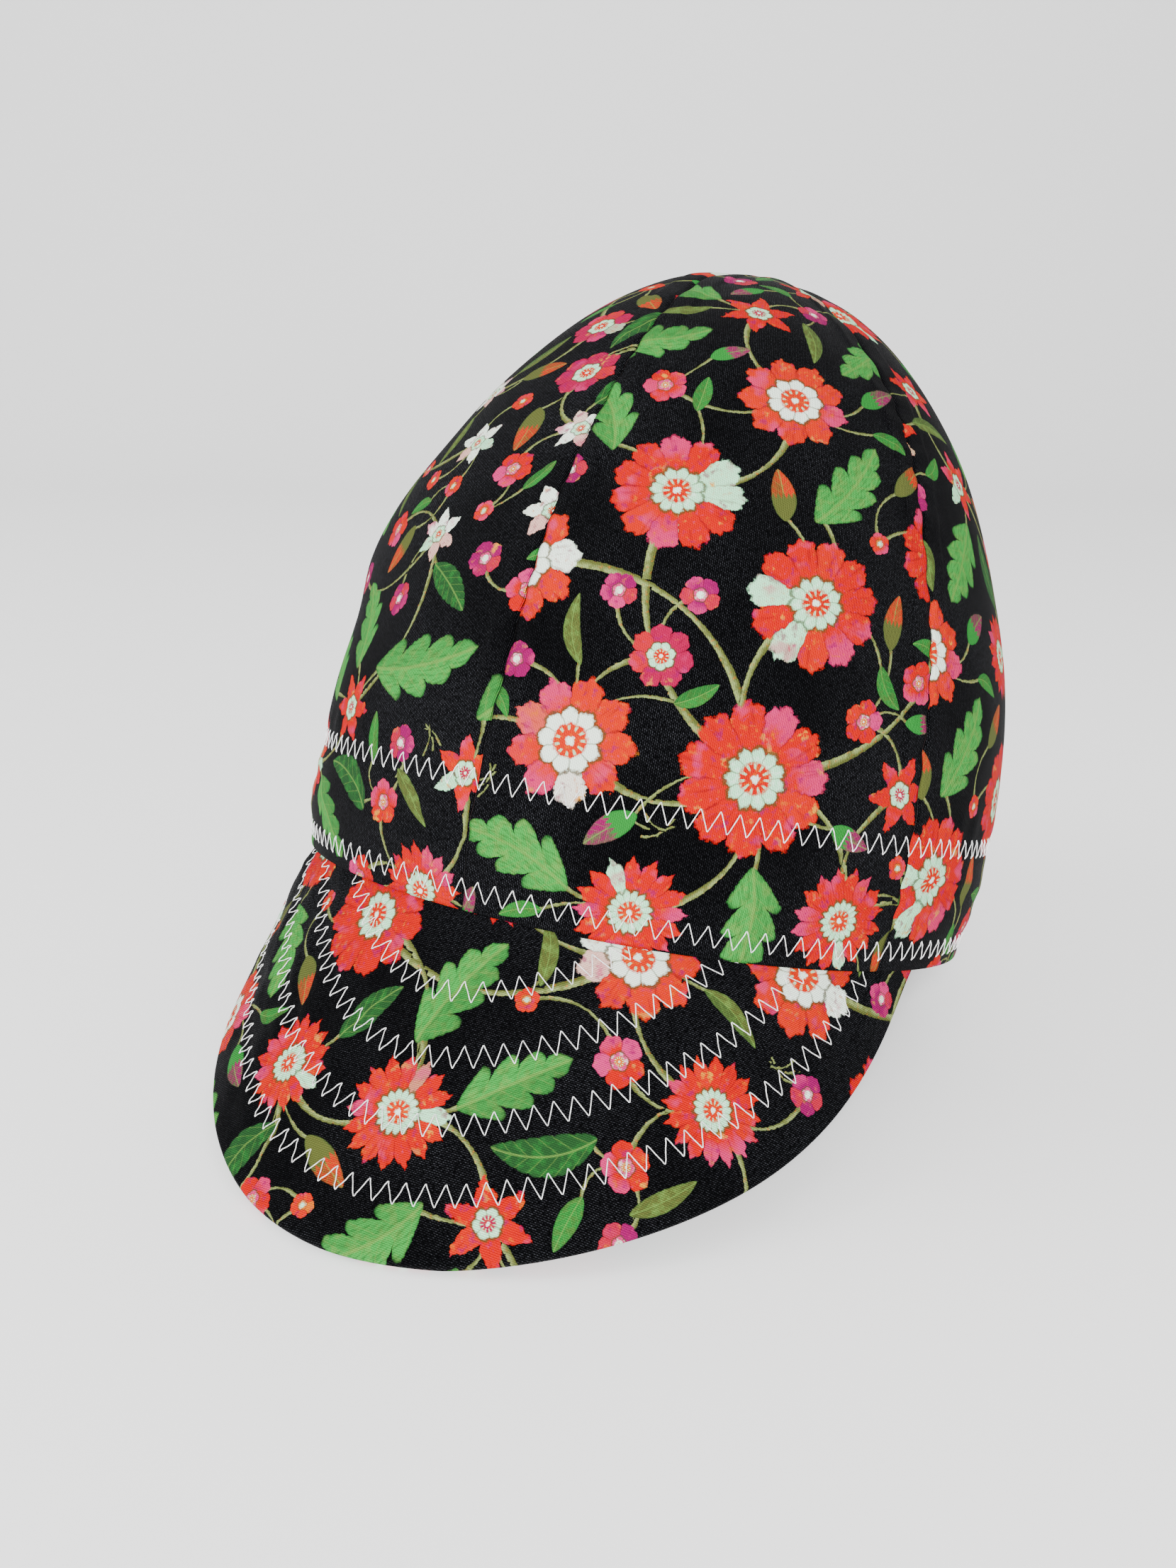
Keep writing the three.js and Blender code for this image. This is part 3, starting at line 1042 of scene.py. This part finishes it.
def add_leaf(g, under, mottle, fine):
    """The nearest leaf or bud laid over the colour under."""
    x, y, _ = g.split(g.map("LeafSpot"))
    lobes, depth, number = g.form("LeafForm")
    blade, base_end = g.tone("BladeTone")
    foot, _ = g.tone("FootTone")
    side = abs(y) + (fine - 0.5) * 0.16
    forward = x + side * -0.45
    taper = g.math("MAXIMUM", 1.0 - x * x, 0.0) ** 0.75
    lobe = lobe_share(g, forward * (lobes * 0.5), 0.1)
    notch = 1.0 - depth * (1.0 - (lobe + 0.001) ** 0.32)
    rim = taper * (0.95 - x * 0.18) * notch
    inside = g.spread(rim - side, -0.02, 0.05) * g.spread(abs(x), 1.0, 0.97)

    half = g.spread(y, -0.04, 0.04) * g.chance(number, 3.0)
    ink = g.noise(g.gather(x * 5.0, y * 14.0), 1.0, 2.0)
    veins = g.spread(g.math("FRACT", forward * 3.5), 0.14, 0.05) * 0.28
    midrib = g.spread(abs(y), 0.07, 0.03) * 0.55
    zigzag = lobe_share(g, y * 2.5, 0.5) * 0.22
    body = blade
    for part, tone in (
        (g.spread(mottle, 0.48, 0.62) * 0.5, foot),
        (half * 0.5, "deep"),
        (g.spread(ink, 0.47, 0.64) * 0.5, "deep"),
        (g.math("MAXIMUM", veins, midrib), "pale"),
        (g.spread(base_end + zigzag - x, -0.02, 0.05), foot),
        (g.spread(rim - side, 0.14, 0.03) * 0.4, "deep"),
    ):
        body = g.mix(part, body, tone)
    return g.mix(inside, under, body)


def printed_cotton(name, settings):
    """Black cotton with painted sheen on its ribs, painted shade between them, pale grey specks,
    and the print on it.
    """
    g = Graph(name)
    cloth = g.map("Cloth")
    mottle = g.noise(cloth, 0.42, 3.0, 0.6)
    fine = g.noise(cloth, 0.9, 3.0, 0.6)
    speckle = g.noise(cloth, 3.1, 2.0, 0.7)
    weave = weave_height(g, cloth)
    threads = g.spread(weave, -0.9, 0.9)

    u, v, _ = g.split(cloth)
    # Painted sheen: the tops of the ribs are mixed toward a pale grey, in slubby streaks and
    # stronger in broad soft patches, standing in for the grey sheen light gives the cotton.
    slubs = g.spread(g.noise(g.gather(u * 1.3, v * 4.2), 1.0, 2.0, 0.7), 0.42, 0.70)
    sheen_patches = g.spread(g.noise(g.place(), 22.0, 2.0), 0.38, 0.62) + 0.4
    ground = g.mix(slubs * sheen_patches * threads**3.0, settings.ground, (0.035, 0.036, 0.042))
    # Scattered pale grey specks over the ground.
    ground = g.mix(g.spread(speckle, 0.70, 0.78) * 0.4, ground, (0.05, 0.05, 0.052))

    beside, half, _ = g.split(g.map("StemSpot"))
    beside = beside + (fine - 0.5) * 0.8
    twig = g.mix(g.spread(beside, 0.5, -0.3), "olive", "sage")
    twig = g.mix(g.spread(mottle, 0.48, 0.60) * 0.7, twig, "olive")
    twig = g.mix(g.spread(fine, 0.58, 0.70) * 0.5, twig, "yellow")
    tone = g.mix(g.spread(abs(beside) - half, 0.08, -0.08), ground, twig)
    tone = add_leaf(g, tone, mottle, fine)
    tone = add_flower(g, tone, g.noise(cloth, 0.15, 2.0, 0.5), mottle, fine)

    # Painted shade: the colours are darkened in the grooves between the ribs, and varied a little
    # at random by the speckle noise.
    shade = (threads * 0.40 + 0.72) * (speckle * 0.2 + 0.9)
    g.finish(
        g.darken(tone, shade), 0.56 - threads * 0.10, Specular_IOR_Level=0.008,
        Sheen_Weight=settings.sheen, Sheen_Roughness=0.45, Sheen_Tint=(0.85, 0.87, 0.95, 1.0),
    )
    creases = g.noise(g.place(), 48.0, 3.0, 0.6) * 4.0
    g.bump(weave * 0.2 + creases, 0.8, 0.0009)
    return g.material


def reverse_cotton(name):
    """The unprinted back of the cloth, seen inside the crown."""
    g = Graph(name)
    cloth = g.map("Cloth")
    weave = weave_height(g, cloth)
    through = g.spread(g.noise(cloth, 0.06, 2.0), 0.45, 0.65)
    tone = g.mix(through, (0.010, 0.009, 0.010), (0.030, 0.016, 0.017))
    # Painted shade in the grooves between the ribs.
    tone = g.darken(tone, g.spread(weave, -0.9, 0.9) * 0.3 + 0.78)
    g.finish(tone, 0.9, Specular_IOR_Level=0.2, Sheen_Weight=0.06)
    g.bump(weave, 0.4, 0.0002)
    return g.material


def plain_cotton(name):
    """Black twill for the sweatband and the seam tapes."""
    g = Graph(name)
    cloth = g.map("Cloth")
    u, v, _ = g.split(cloth)
    twill = g.math("SINE", (u + v) * (FULL_TURN / 0.8))
    fuzz = g.noise(cloth, 1.6, 3.0, 0.7)
    tone = g.mix(g.spread(twill, -0.6, 0.9), (0.005, 0.005, 0.006), (0.012, 0.012, 0.0144))
    tone = g.mix(g.spread(fuzz, 0.5, 0.75) * 0.4, tone, (0.022, 0.022, 0.024))
    g.finish(tone, fuzz * 0.2 + 0.78, Specular_IOR_Level=0.2, Sheen_Weight=0.06)
    g.bump(twill * 0.4 + fuzz, 0.5, 0.0003)
    return g.material


def stitch_thread(name, settings):
    g = Graph(name)
    fibres = g.noise(g.place(), 900.0, 3.0, 0.7)
    light = tuple(settings.colour)
    tone = g.mix(g.spread(fibres, 0.40, 0.60), tuple(part * 0.6 for part in light), light)
    g.finish(tone, fibres * 0.3 + 0.5, Sheen_Weight=0.2)
    g.bump(fibres, 0.4, 0.0001)
    return g.material


def studio_paper(name, shade):
    g = Graph(name)
    grain = g.noise(g.place(), 30.0, 4.0, 0.6)
    g.finish(g.mix(grain, (shade * 0.985,) * 3, (shade,) * 3), grain * 0.15 + 0.75)
    return g.material


# ---- pieces

_print = {}


def cap_form(scene):
    return CapForm(scene.cap_sizes, scene.cap_stitches)


def floral_print(scene):
    """The scatter is worked out once and shared by the panels and the brim."""
    if "made" not in _print:
        _print["made"] = FloralPrint(scene.cap_print)
    return _print["made"]


def material(name, make, *values):
    return bpy.data.materials.get(name) or make(name, *values)


def floral_cotton(scene):
    return material("floral_cotton", printed_cotton, scene.cap_print)


def make_panel(form, floral, name, low, high, materials):
    """One gore of the crown, turned up inside at the hem, with its cloth's thickness."""
    fold = 0.75
    turn_up = 9.0
    distances, heights = form.meridian()
    seam_low, seam_high = math.radians(low), math.radians(high)
    top = distances[-1] - 0.02
    start = -(math.pi * fold + turn_up)

    def spots(across, up):
        run = start + (top - start) * up
        around = np.clip(-run / fold, 0, math.pi)
        inset = np.where(run < 0, fold * (1 - np.cos(around)), 0.0)
        height = np.interp(np.maximum(run, 0), distances, heights)
        height = np.maximum(height, fold * ease(-run, -3, 0))
        height = np.where(run < 0, fold * (1 - np.sin(around)), height)
        height = np.where(run < -math.pi * fold, fold + (-run - math.pi * fold), height)
        height = np.minimum(height, form.height - 1e-5)
        # Columns crowd towards the seams, where the cloth turns in.
        packed = across - 0.045 * np.sin(FULL_TURN * across)
        gap = 0.05 / np.maximum(form.radius(height), 0.4)
        angle = seam_low + gap + (seam_high - seam_low - 2 * gap) * packed
        return run, height, inset, angle

    def place(across, up):
        _, height, inset, angle = spots(across, up)
        return form.stand(form.panel_surface(angle, height, inset))

    bm = sheet(*PANEL_GRID, place)
    bmesh.ops.recalc_face_normals(bm, faces=bm.faces)
    outward = sum(face.normal.dot(face.calc_center_median()) > 0 for face in bm.faces)
    if outward < len(bm.faces) / 2:
        bmesh.ops.reverse_faces(bm, faces=bm.faces)
    bmesh.ops.solidify(bm, geom=list(bm.faces), thickness=form.cloth * MM)
    piece = finish_piece(f"{name}_cloth", bm, *materials)
    run, height, _, angle = spots(*kept_shares(piece.data))
    around = (angle - (seam_low + seam_high) / 2) * form.radius(np.maximum(height, 0))
    put_on_cloth(piece.data, np.column_stack([around, run]), floral, CUTS[name], True)
    show_reverse(piece.data, form, run)
    return piece


def show_reverse(mesh, form, run):
    """Faces that look into the crown, above the turned-up hem, show the back of the cloth."""
    middle = (CAD_BOX[0][2] + CAD_BOX[1][2]) / 2
    centre = np.array([0.0, CAD_BOX[1][1] - form.b * MM, middle])
    to_centre = centre - read(mesh.polygons, "center", 3)
    inward = (to_centre * read(mesh.polygons, "normal", 3)).sum(1) > 0
    corners = read(mesh.loops, "vertex_index", kind=np.int32)
    first = run[corners[read(mesh.polygons, "loop_start", kind=np.int32)]]
    index = np.where(inward & (first > 1.0), 1, 0).astype(np.int32)
    mesh.polygons.foreach_set("material_index", index)


class CAP_OT_add_crown(Operator):
    """Add the six panels of the crown"""

    bl_idname = "cap.add_crown"
    bl_label = "Add Crown"

    def execute(self, context):
        scene = context.scene
        form, floral = cap_form(scene), floral_print(scene)
        materials = floral_cotton(scene), material("floral_cotton_back", reverse_cotton)
        seams = SEAM_ANGLES[2:]
        for index, part in enumerate(("front", "side", "back")):
            for hand, sign in (("left", 1), ("right", -1)):
                low, high = sorted((seams[index] * sign, seams[index + 1] * sign))
                node = f"panel_{part}_{hand}"
                piece = make_panel(form, floral, node, low, high, materials)
                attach(piece, "root")
                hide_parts(node)
        return {"FINISHED"}


class CAP_OT_add_brim(Operator):
    """Add the padded brim, with its quilted faces and rolled edge"""

    bl_idname = "cap.add_brim"
    bl_label = "Add Brim"

    def execute(self, context):
        scene = context.scene
        form = cap_form(scene)
        top_rows, edge_rows, root_rows = 64, 10, 2
        loop = top_rows * 2 + edge_rows
        rows = loop + root_rows
        root = 9.0
        edge_radius = 1.45

        def spots(across, up):
            angle = form.brim_end * (2 * across - 1) * 0.998
            row = up * rows
            end = np.maximum(form.reach(angle), 0.0) - edge_radius
            face = np.clip(np.where(row > loop / 2, loop - row, row) / top_rows, 0, 1)
            out = -root + (end + root) * face
            turn = np.clip((row - top_rows) / edge_rows, 0, 1) * math.pi
            on_edge = (row > top_rows) & (row < loop - top_rows)
            out = np.where(on_edge, end + edge_radius * np.sin(turn), out)
            side = np.where(on_edge, np.cos(turn), np.where(row > loop / 2, -1.0, 1.0))
            # The last rows come back up from the underside to the upper face, inside the crown.
            side = np.where(row > loop, -1.0 + 2.0 * (row - loop) / root_rows, side)
            return angle, out, side

        def place(across, up):
            return form.stand(form.brim_surface(*spots(across, up)))

        bm = sheet(BRIM_COLUMNS, rows, place)
        bmesh.ops.remove_doubles(bm, verts=bm.verts, dist=1e-6)
        bmesh.ops.holes_fill(bm, edges=[edge for edge in bm.edges if edge.is_boundary])
        bmesh.ops.recalc_face_normals(bm, faces=bm.faces)
        bmesh.ops.triangulate(bm, faces=[face for face in bm.faces if len(face.verts) > 4])
        piece = finish_piece("brim_quilted", bm, floral_cotton(scene))
        angle, out, side = spots(*kept_shares(piece.data))
        flat = np.column_stack(form.brim_flat(angle, out))
        put_on_cloth(piece.data, flat, floral_print(scene), CUTS["brim"], False, side)
        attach(piece, "root")
        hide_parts("brim")
        return {"FINISHED"}


class CAP_OT_add_sweatband(Operator):
    """Add the inner sweatband and the tapes over the crown's inner seams"""

    bl_idname = "cap.add_sweatband"
    bl_label = "Add Sweatband"

    low, high, thick = 2.4, 35.0, 1.0
    tape_low, tape_half_width = 33.0, 5.5

    def execute(self, context):
        form = cap_form(context.scene)
        twill = material("black_twill", plain_cotton)
        tall = self.high - self.low
        girth = 2 * tall + 2 * self.thick

        def spots(across, up):
            """(angle, height, inset, the way walked up the outer face and down the inner)."""
            angle = math.pi * (2 * across - 1)
            walk = up * girth
            rise = np.where(walk < tall, walk, np.maximum(2 * tall + self.thick - walk, 0))
            height = self.low + np.clip(rise, 0, tall)
            inner = ease(walk, tall - 0.2, tall + self.thick + 0.2)
            inner = inner - ease(walk, girth - self.thick, girth)
            # Behind the brim it lies further in than at the back.
            away = ease(np.abs(angle), form.brim_end + 0.035, form.brim_end + 0.49)
            front = form.wall + 2 * form.layer_gap + form.brim_thickness
            behind = front * (1 - away) + (form.wall + form.layer_gap + 0.5) * away
            waver = 0.21 * np.sin(angle * 9 + height * 0.1)
            waver = waver + 0.18 * np.sin(angle * 17 + 1 - height * 0.16)
            return angle, height, behind + self.thick * inner + waver + 0.3, walk

        def place(across, up):
            angle, height, inset, _ = spots(across, up)
            foot = form.on_crown(angle, 0.0 * height, np.full_like(height, form.wall))
            return form.stand(form.press(form.on_crown(angle, height, inset), foot, height))

        bm = sheet(*SWEATBAND_GRID, place)
        bmesh.ops.remove_doubles(bm, verts=bm.verts, dist=1e-5)
        bmesh.ops.recalc_face_normals(bm, faces=bm.faces)
        piece = finish_piece("sweatband_cloth", bm, twill)
        angle, _, _, walk = spots(*kept_shares(piece.data))
        flat_map(piece.data, np.column_stack([angle * form.a, walk]))
        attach(piece, "root")
        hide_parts("sweatband")
        for index, seam in enumerate(SEAM_ANGLES):
            self.add_tape(form, twill, f"seam_tape_{index + 1}", math.radians(seam))
        return {"FINISHED"}

    def add_tape(self, form, twill, name, centre):
        def place(across, up):
            rise = form.height - self.tape_low - 0.0005
            height = self.tape_low + rise * np.sin(up * math.pi / 2)
            radius = np.maximum(form.radius(height), 0.5)
            width = np.minimum(self.tape_half_width, radius * 0.48)
            angle = centre + (2 * across - 1) * width / radius
            crowned = 0.75 + 0.35 * (1 - (2 * across - 1) ** 2)
            inset = form.cloth + crowned - form.crown_relief(angle, height) * 0.9
            return form.stand(form.on_crown(angle, height, np.maximum(inset, form.cloth + 0.25)))

        bm = sheet(*TAPE_GRID, place)
        bmesh.ops.recalc_face_normals(bm, faces=bm.faces)
        bmesh.ops.solidify(bm, geom=list(bm.faces), thickness=0.4 * MM)
        bmesh.ops.recalc_face_normals(bm, faces=bm.faces)
        piece = finish_piece(name, bm, twill)
        across, up = kept_shares(piece.data)
        flat_map(piece.data, np.column_stack([across * 11.0, up * form.height * 1.2]))
        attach(piece, "root")


def stitch_row(name, path, settings, thread):
    """A zigzag of thread along a path. path takes shares of its run and a distance to the side
    in mm, and gives (points, directions out of the cloth), in metres."""
    fine = np.linspace(0, 1, 900)
    run = walked(path(fine, np.zeros_like(fine))[0])
    count = max(int(round(run[-1] / settings.pitch * 2)), 2)
    count -= count % 2
    knots = np.interp(np.linspace(0, run[-1], count + 1), run, fine)[:, None]
    steps = 6
    t = np.linspace(0, 1, steps)
    shares = knots[:-1] + (knots[1:] - knots[:-1]) * t
    signs = (1 - 2 * t) * np.where(np.arange(count) % 2 == 0, 1, -1)[:, None]
    places, outward = path(shares.ravel(), signs.ravel() * settings.width / MM / 2)
    # Each leg rises a little over the cloth and dives into it at both ends.
    lift = 0.16 + 0.22 * np.sin(math.pi * t) ** 0.6 - 0.34 * (np.abs(2 * t - 1) > 0.99)
    places = places + outward * (np.tile(lift, count) * MM)[:, None]
    curve = bpy.data.curves.new(name, "CURVE")
    curve.dimensions = "3D"
    curve.bevel_depth = settings.thread / 2
    curve.bevel_resolution = 1
    curve.use_fill_caps = True
    curve.materials.append(thread)
    for leg in places.reshape(count, steps, 3):
        spline = curve.splines.new("POLY")
        spline.points.add(steps - 1)
        spline.points.foreach_set("co", np.column_stack([leg, np.ones(steps)]).ravel())
    row = bpy.data.objects.new(name, curve)
    bpy.context.scene.collection.objects.link(row)
    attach(row, "root")


class CAP_OT_add_stitching(Operator):
    """Add the zigzag rows round the crown and along the brim"""

    bl_idname = "cap.add_stitching"
    bl_label = "Add Stitching"

    def execute(self, context):
        form, settings = cap_form(context.scene), context.scene.cap_stitches
        thread = material("stitch_thread", stitch_thread, settings)
        for place, level in (("low", form.low_row), ("high", form.high_row)):
            path = self.crown_path(form, level)
            stitch_row(f"zigzag_crown_{place}", path, settings, thread)
        for number in range(1, form.brim_rows + 1):
            for face, sign in (("top", 1.0), ("under", -1.0)):
                path = self.brim_path(form, number * form.row_gap, sign)
                stitch_row(f"zigzag_brim_{number}_{face}", path, settings, thread)
        return {"FINISHED"}

    def crown_path(self, form, level):
        def path(part, side):
            angle = math.pi * (2 * part - 1)
            height = level + side
            points = form.panel_surface(angle, height)
            return form.stand(points), form.turned(form.crown_out(angle, height))

        return path

    def brim_path(self, form, inside, sign):
        """The row at a distance inside the brim's edge, from hem to hem."""
        angles = np.linspace(-form.brim_end, form.brim_end, 1200)
        outs = form.edge_forward(form.run_at(np.abs(angles)), inside) - form.hem_fall(angles)
        shown = outs > -1.5
        # Steps are even along the row, which is steep near its ends.
        run = walked(np.column_stack([angles[shown] * 85.0, outs[shown]]))
        step = 0.01

        def out_at(angle):
            return np.interp(angle, angles, outs)

        def path(part, side):
            base = np.interp(part, run / run[-1], angles[shown])
            size = np.abs(base)
            sideways = form.run_at(size + step) - form.run_at(size - step)
            ahead = out_at(base + step) - out_at(base - step)
            fall = form.hem_fall(base + step) - form.hem_fall(base - step)
            tangent = unit(np.stack([sideways, ahead + fall], -1))
            across = np.sign(base) * form.run_at(size) - tangent[:, 1] * side
            angle = np.sign(across) * np.interp(np.abs(across), form.runs, form.turns)
            forward = out_at(base) + form.hem_fall(base) + tangent[:, 0] * side
            out = forward - form.hem_fall(angle)
            points = form.brim_surface(angle, out, np.full_like(out, sign))
            _, outward = form.brim_middle(angle, out)
            return form.stand(points), form.turned(outward) * sign

        return path


class CAP_OT_add_stage(Operator):
    """Add the pale floor, the soft lights and the camera"""

    bl_idname = "cap.add_stage"
    bl_label = "Add Stage"

    def execute(self, context):
        scene, stage = context.scene, context.scene.cap_stage
        paper = material("studio_paper", studio_paper, stage.floor_shade)
        self.add_paper(paper)

        world = bpy.data.worlds.new("studio")
        world.use_nodes = True
        background = world.node_tree.nodes["Background"]
        background.inputs["Color"].default_value = (1.0, 1.0, 1.0, 1.0)
        background.inputs["Strength"].default_value = SURROUND_LIGHT
        scene.world = world
        for name, at, part, width in LIGHTS:
            self.add_light(name, at, stage.key_power * part, width)

        camera = bpy.data.cameras.new("camera")
        camera.lens = stage.lens
        camera.sensor_width = 36.0
        camera.clip_start = 0.01
        eye = bpy.data.objects.new("camera", camera)
        scene.collection.objects.link(eye)
        rows = np.eye(4)
        rows[:3] = np.column_stack(
            [CAMERA_RIGHT, CAMERA_UP, CAMERA_BACK, np.array(CAMERA_AT) * MM]
        )
        eye.matrix_world = Matrix(rows.tolist())
        scene.camera = eye
        return {"FINISHED"}

    def add_paper(self, paper):
        """A sheet of paper that lies flat under the cap and sweeps up far behind it."""
        behind = unit(np.array([-0.45, 0.82]))
        aside = np.array([behind[1], -behind[0]])
        flat_run = 1.1

        def place(across, up):
            run = -2.5 + 6.5 * up
            turn = np.clip(run - flat_run, 0, math.pi / 2)
            forward = np.where(run < flat_run, run, flat_run + np.sin(turn))
            upright = np.maximum(run - flat_run - math.pi / 2, 0)
            flat = forward[:, None] * behind + ((across - 0.5) * 6.0)[:, None] * aside
            return np.column_stack([flat, 1 - np.cos(turn) + upright - 0.2 * MM])

        bm = sheet(*PAPER_GRID, place)
        bmesh.ops.recalc_face_normals(bm, faces=bm.faces)
        return finish_piece("floor", bm, paper)

    def add_light(self, name, at, power, size):
        light = bpy.data.lights.new(name, "AREA")
        light.shape = "DISK"
        light.size = size
        light.energy = power
        lamp = bpy.data.objects.new(name, light)
        lamp.location = at
        lamp.rotation_euler = (-Vector(at)).to_track_quat("-Z", "Y").to_euler()
        bpy.context.scene.collection.objects.link(lamp)


class CAP_PT_sidebar(Panel):
    """Lists the steps that build the cap"""

    bl_idname = "CAP_PT_sidebar"
    bl_label = "Welding Cap"
    bl_space_type = "VIEW_3D"
    bl_region_type = "UI"
    bl_category = "Cap"

    def draw(self, context):
        for group in SETTINGS:
            settings = getattr(context.scene, group)
            box = self.layout.box()
            for name in settings.__annotations__:
                box.prop(settings, name)
        for operator in OPERATORS:
            self.layout.operator(operator.bl_idname)


SETTINGS = {
    "cap_sizes": CapSizes,
    "cap_print": PrintSettings,
    "cap_stitches": StitchSettings,
    "cap_stage": StageSettings,
}
OPERATORS = (
    CAP_OT_add_crown,
    CAP_OT_add_brim,
    CAP_OT_add_sweatband,
    CAP_OT_add_stitching,
    CAP_OT_add_stage,
)
CLASSES = (*SETTINGS.values(), *OPERATORS, CAP_PT_sidebar)


def register():
    for cls in CLASSES:
        bpy.utils.register_class(cls)
    for name, settings in SETTINGS.items():
        setattr(bpy.types.Scene, name, PointerProperty(type=settings))


def unregister():
    for name in SETTINGS:
        delattr(bpy.types.Scene, name)
    for cls in reversed(CLASSES):
        bpy.utils.unregister_class(cls)


def main():
    register()
    bpy.ops.cap.add_crown()
    bpy.ops.cap.add_brim()
    bpy.ops.cap.add_sweatband()
    bpy.ops.cap.add_stitching()
    bpy.ops.cap.add_stage()
    bpy.context.view_layer.update()


if __name__ == "__main__":
    main()
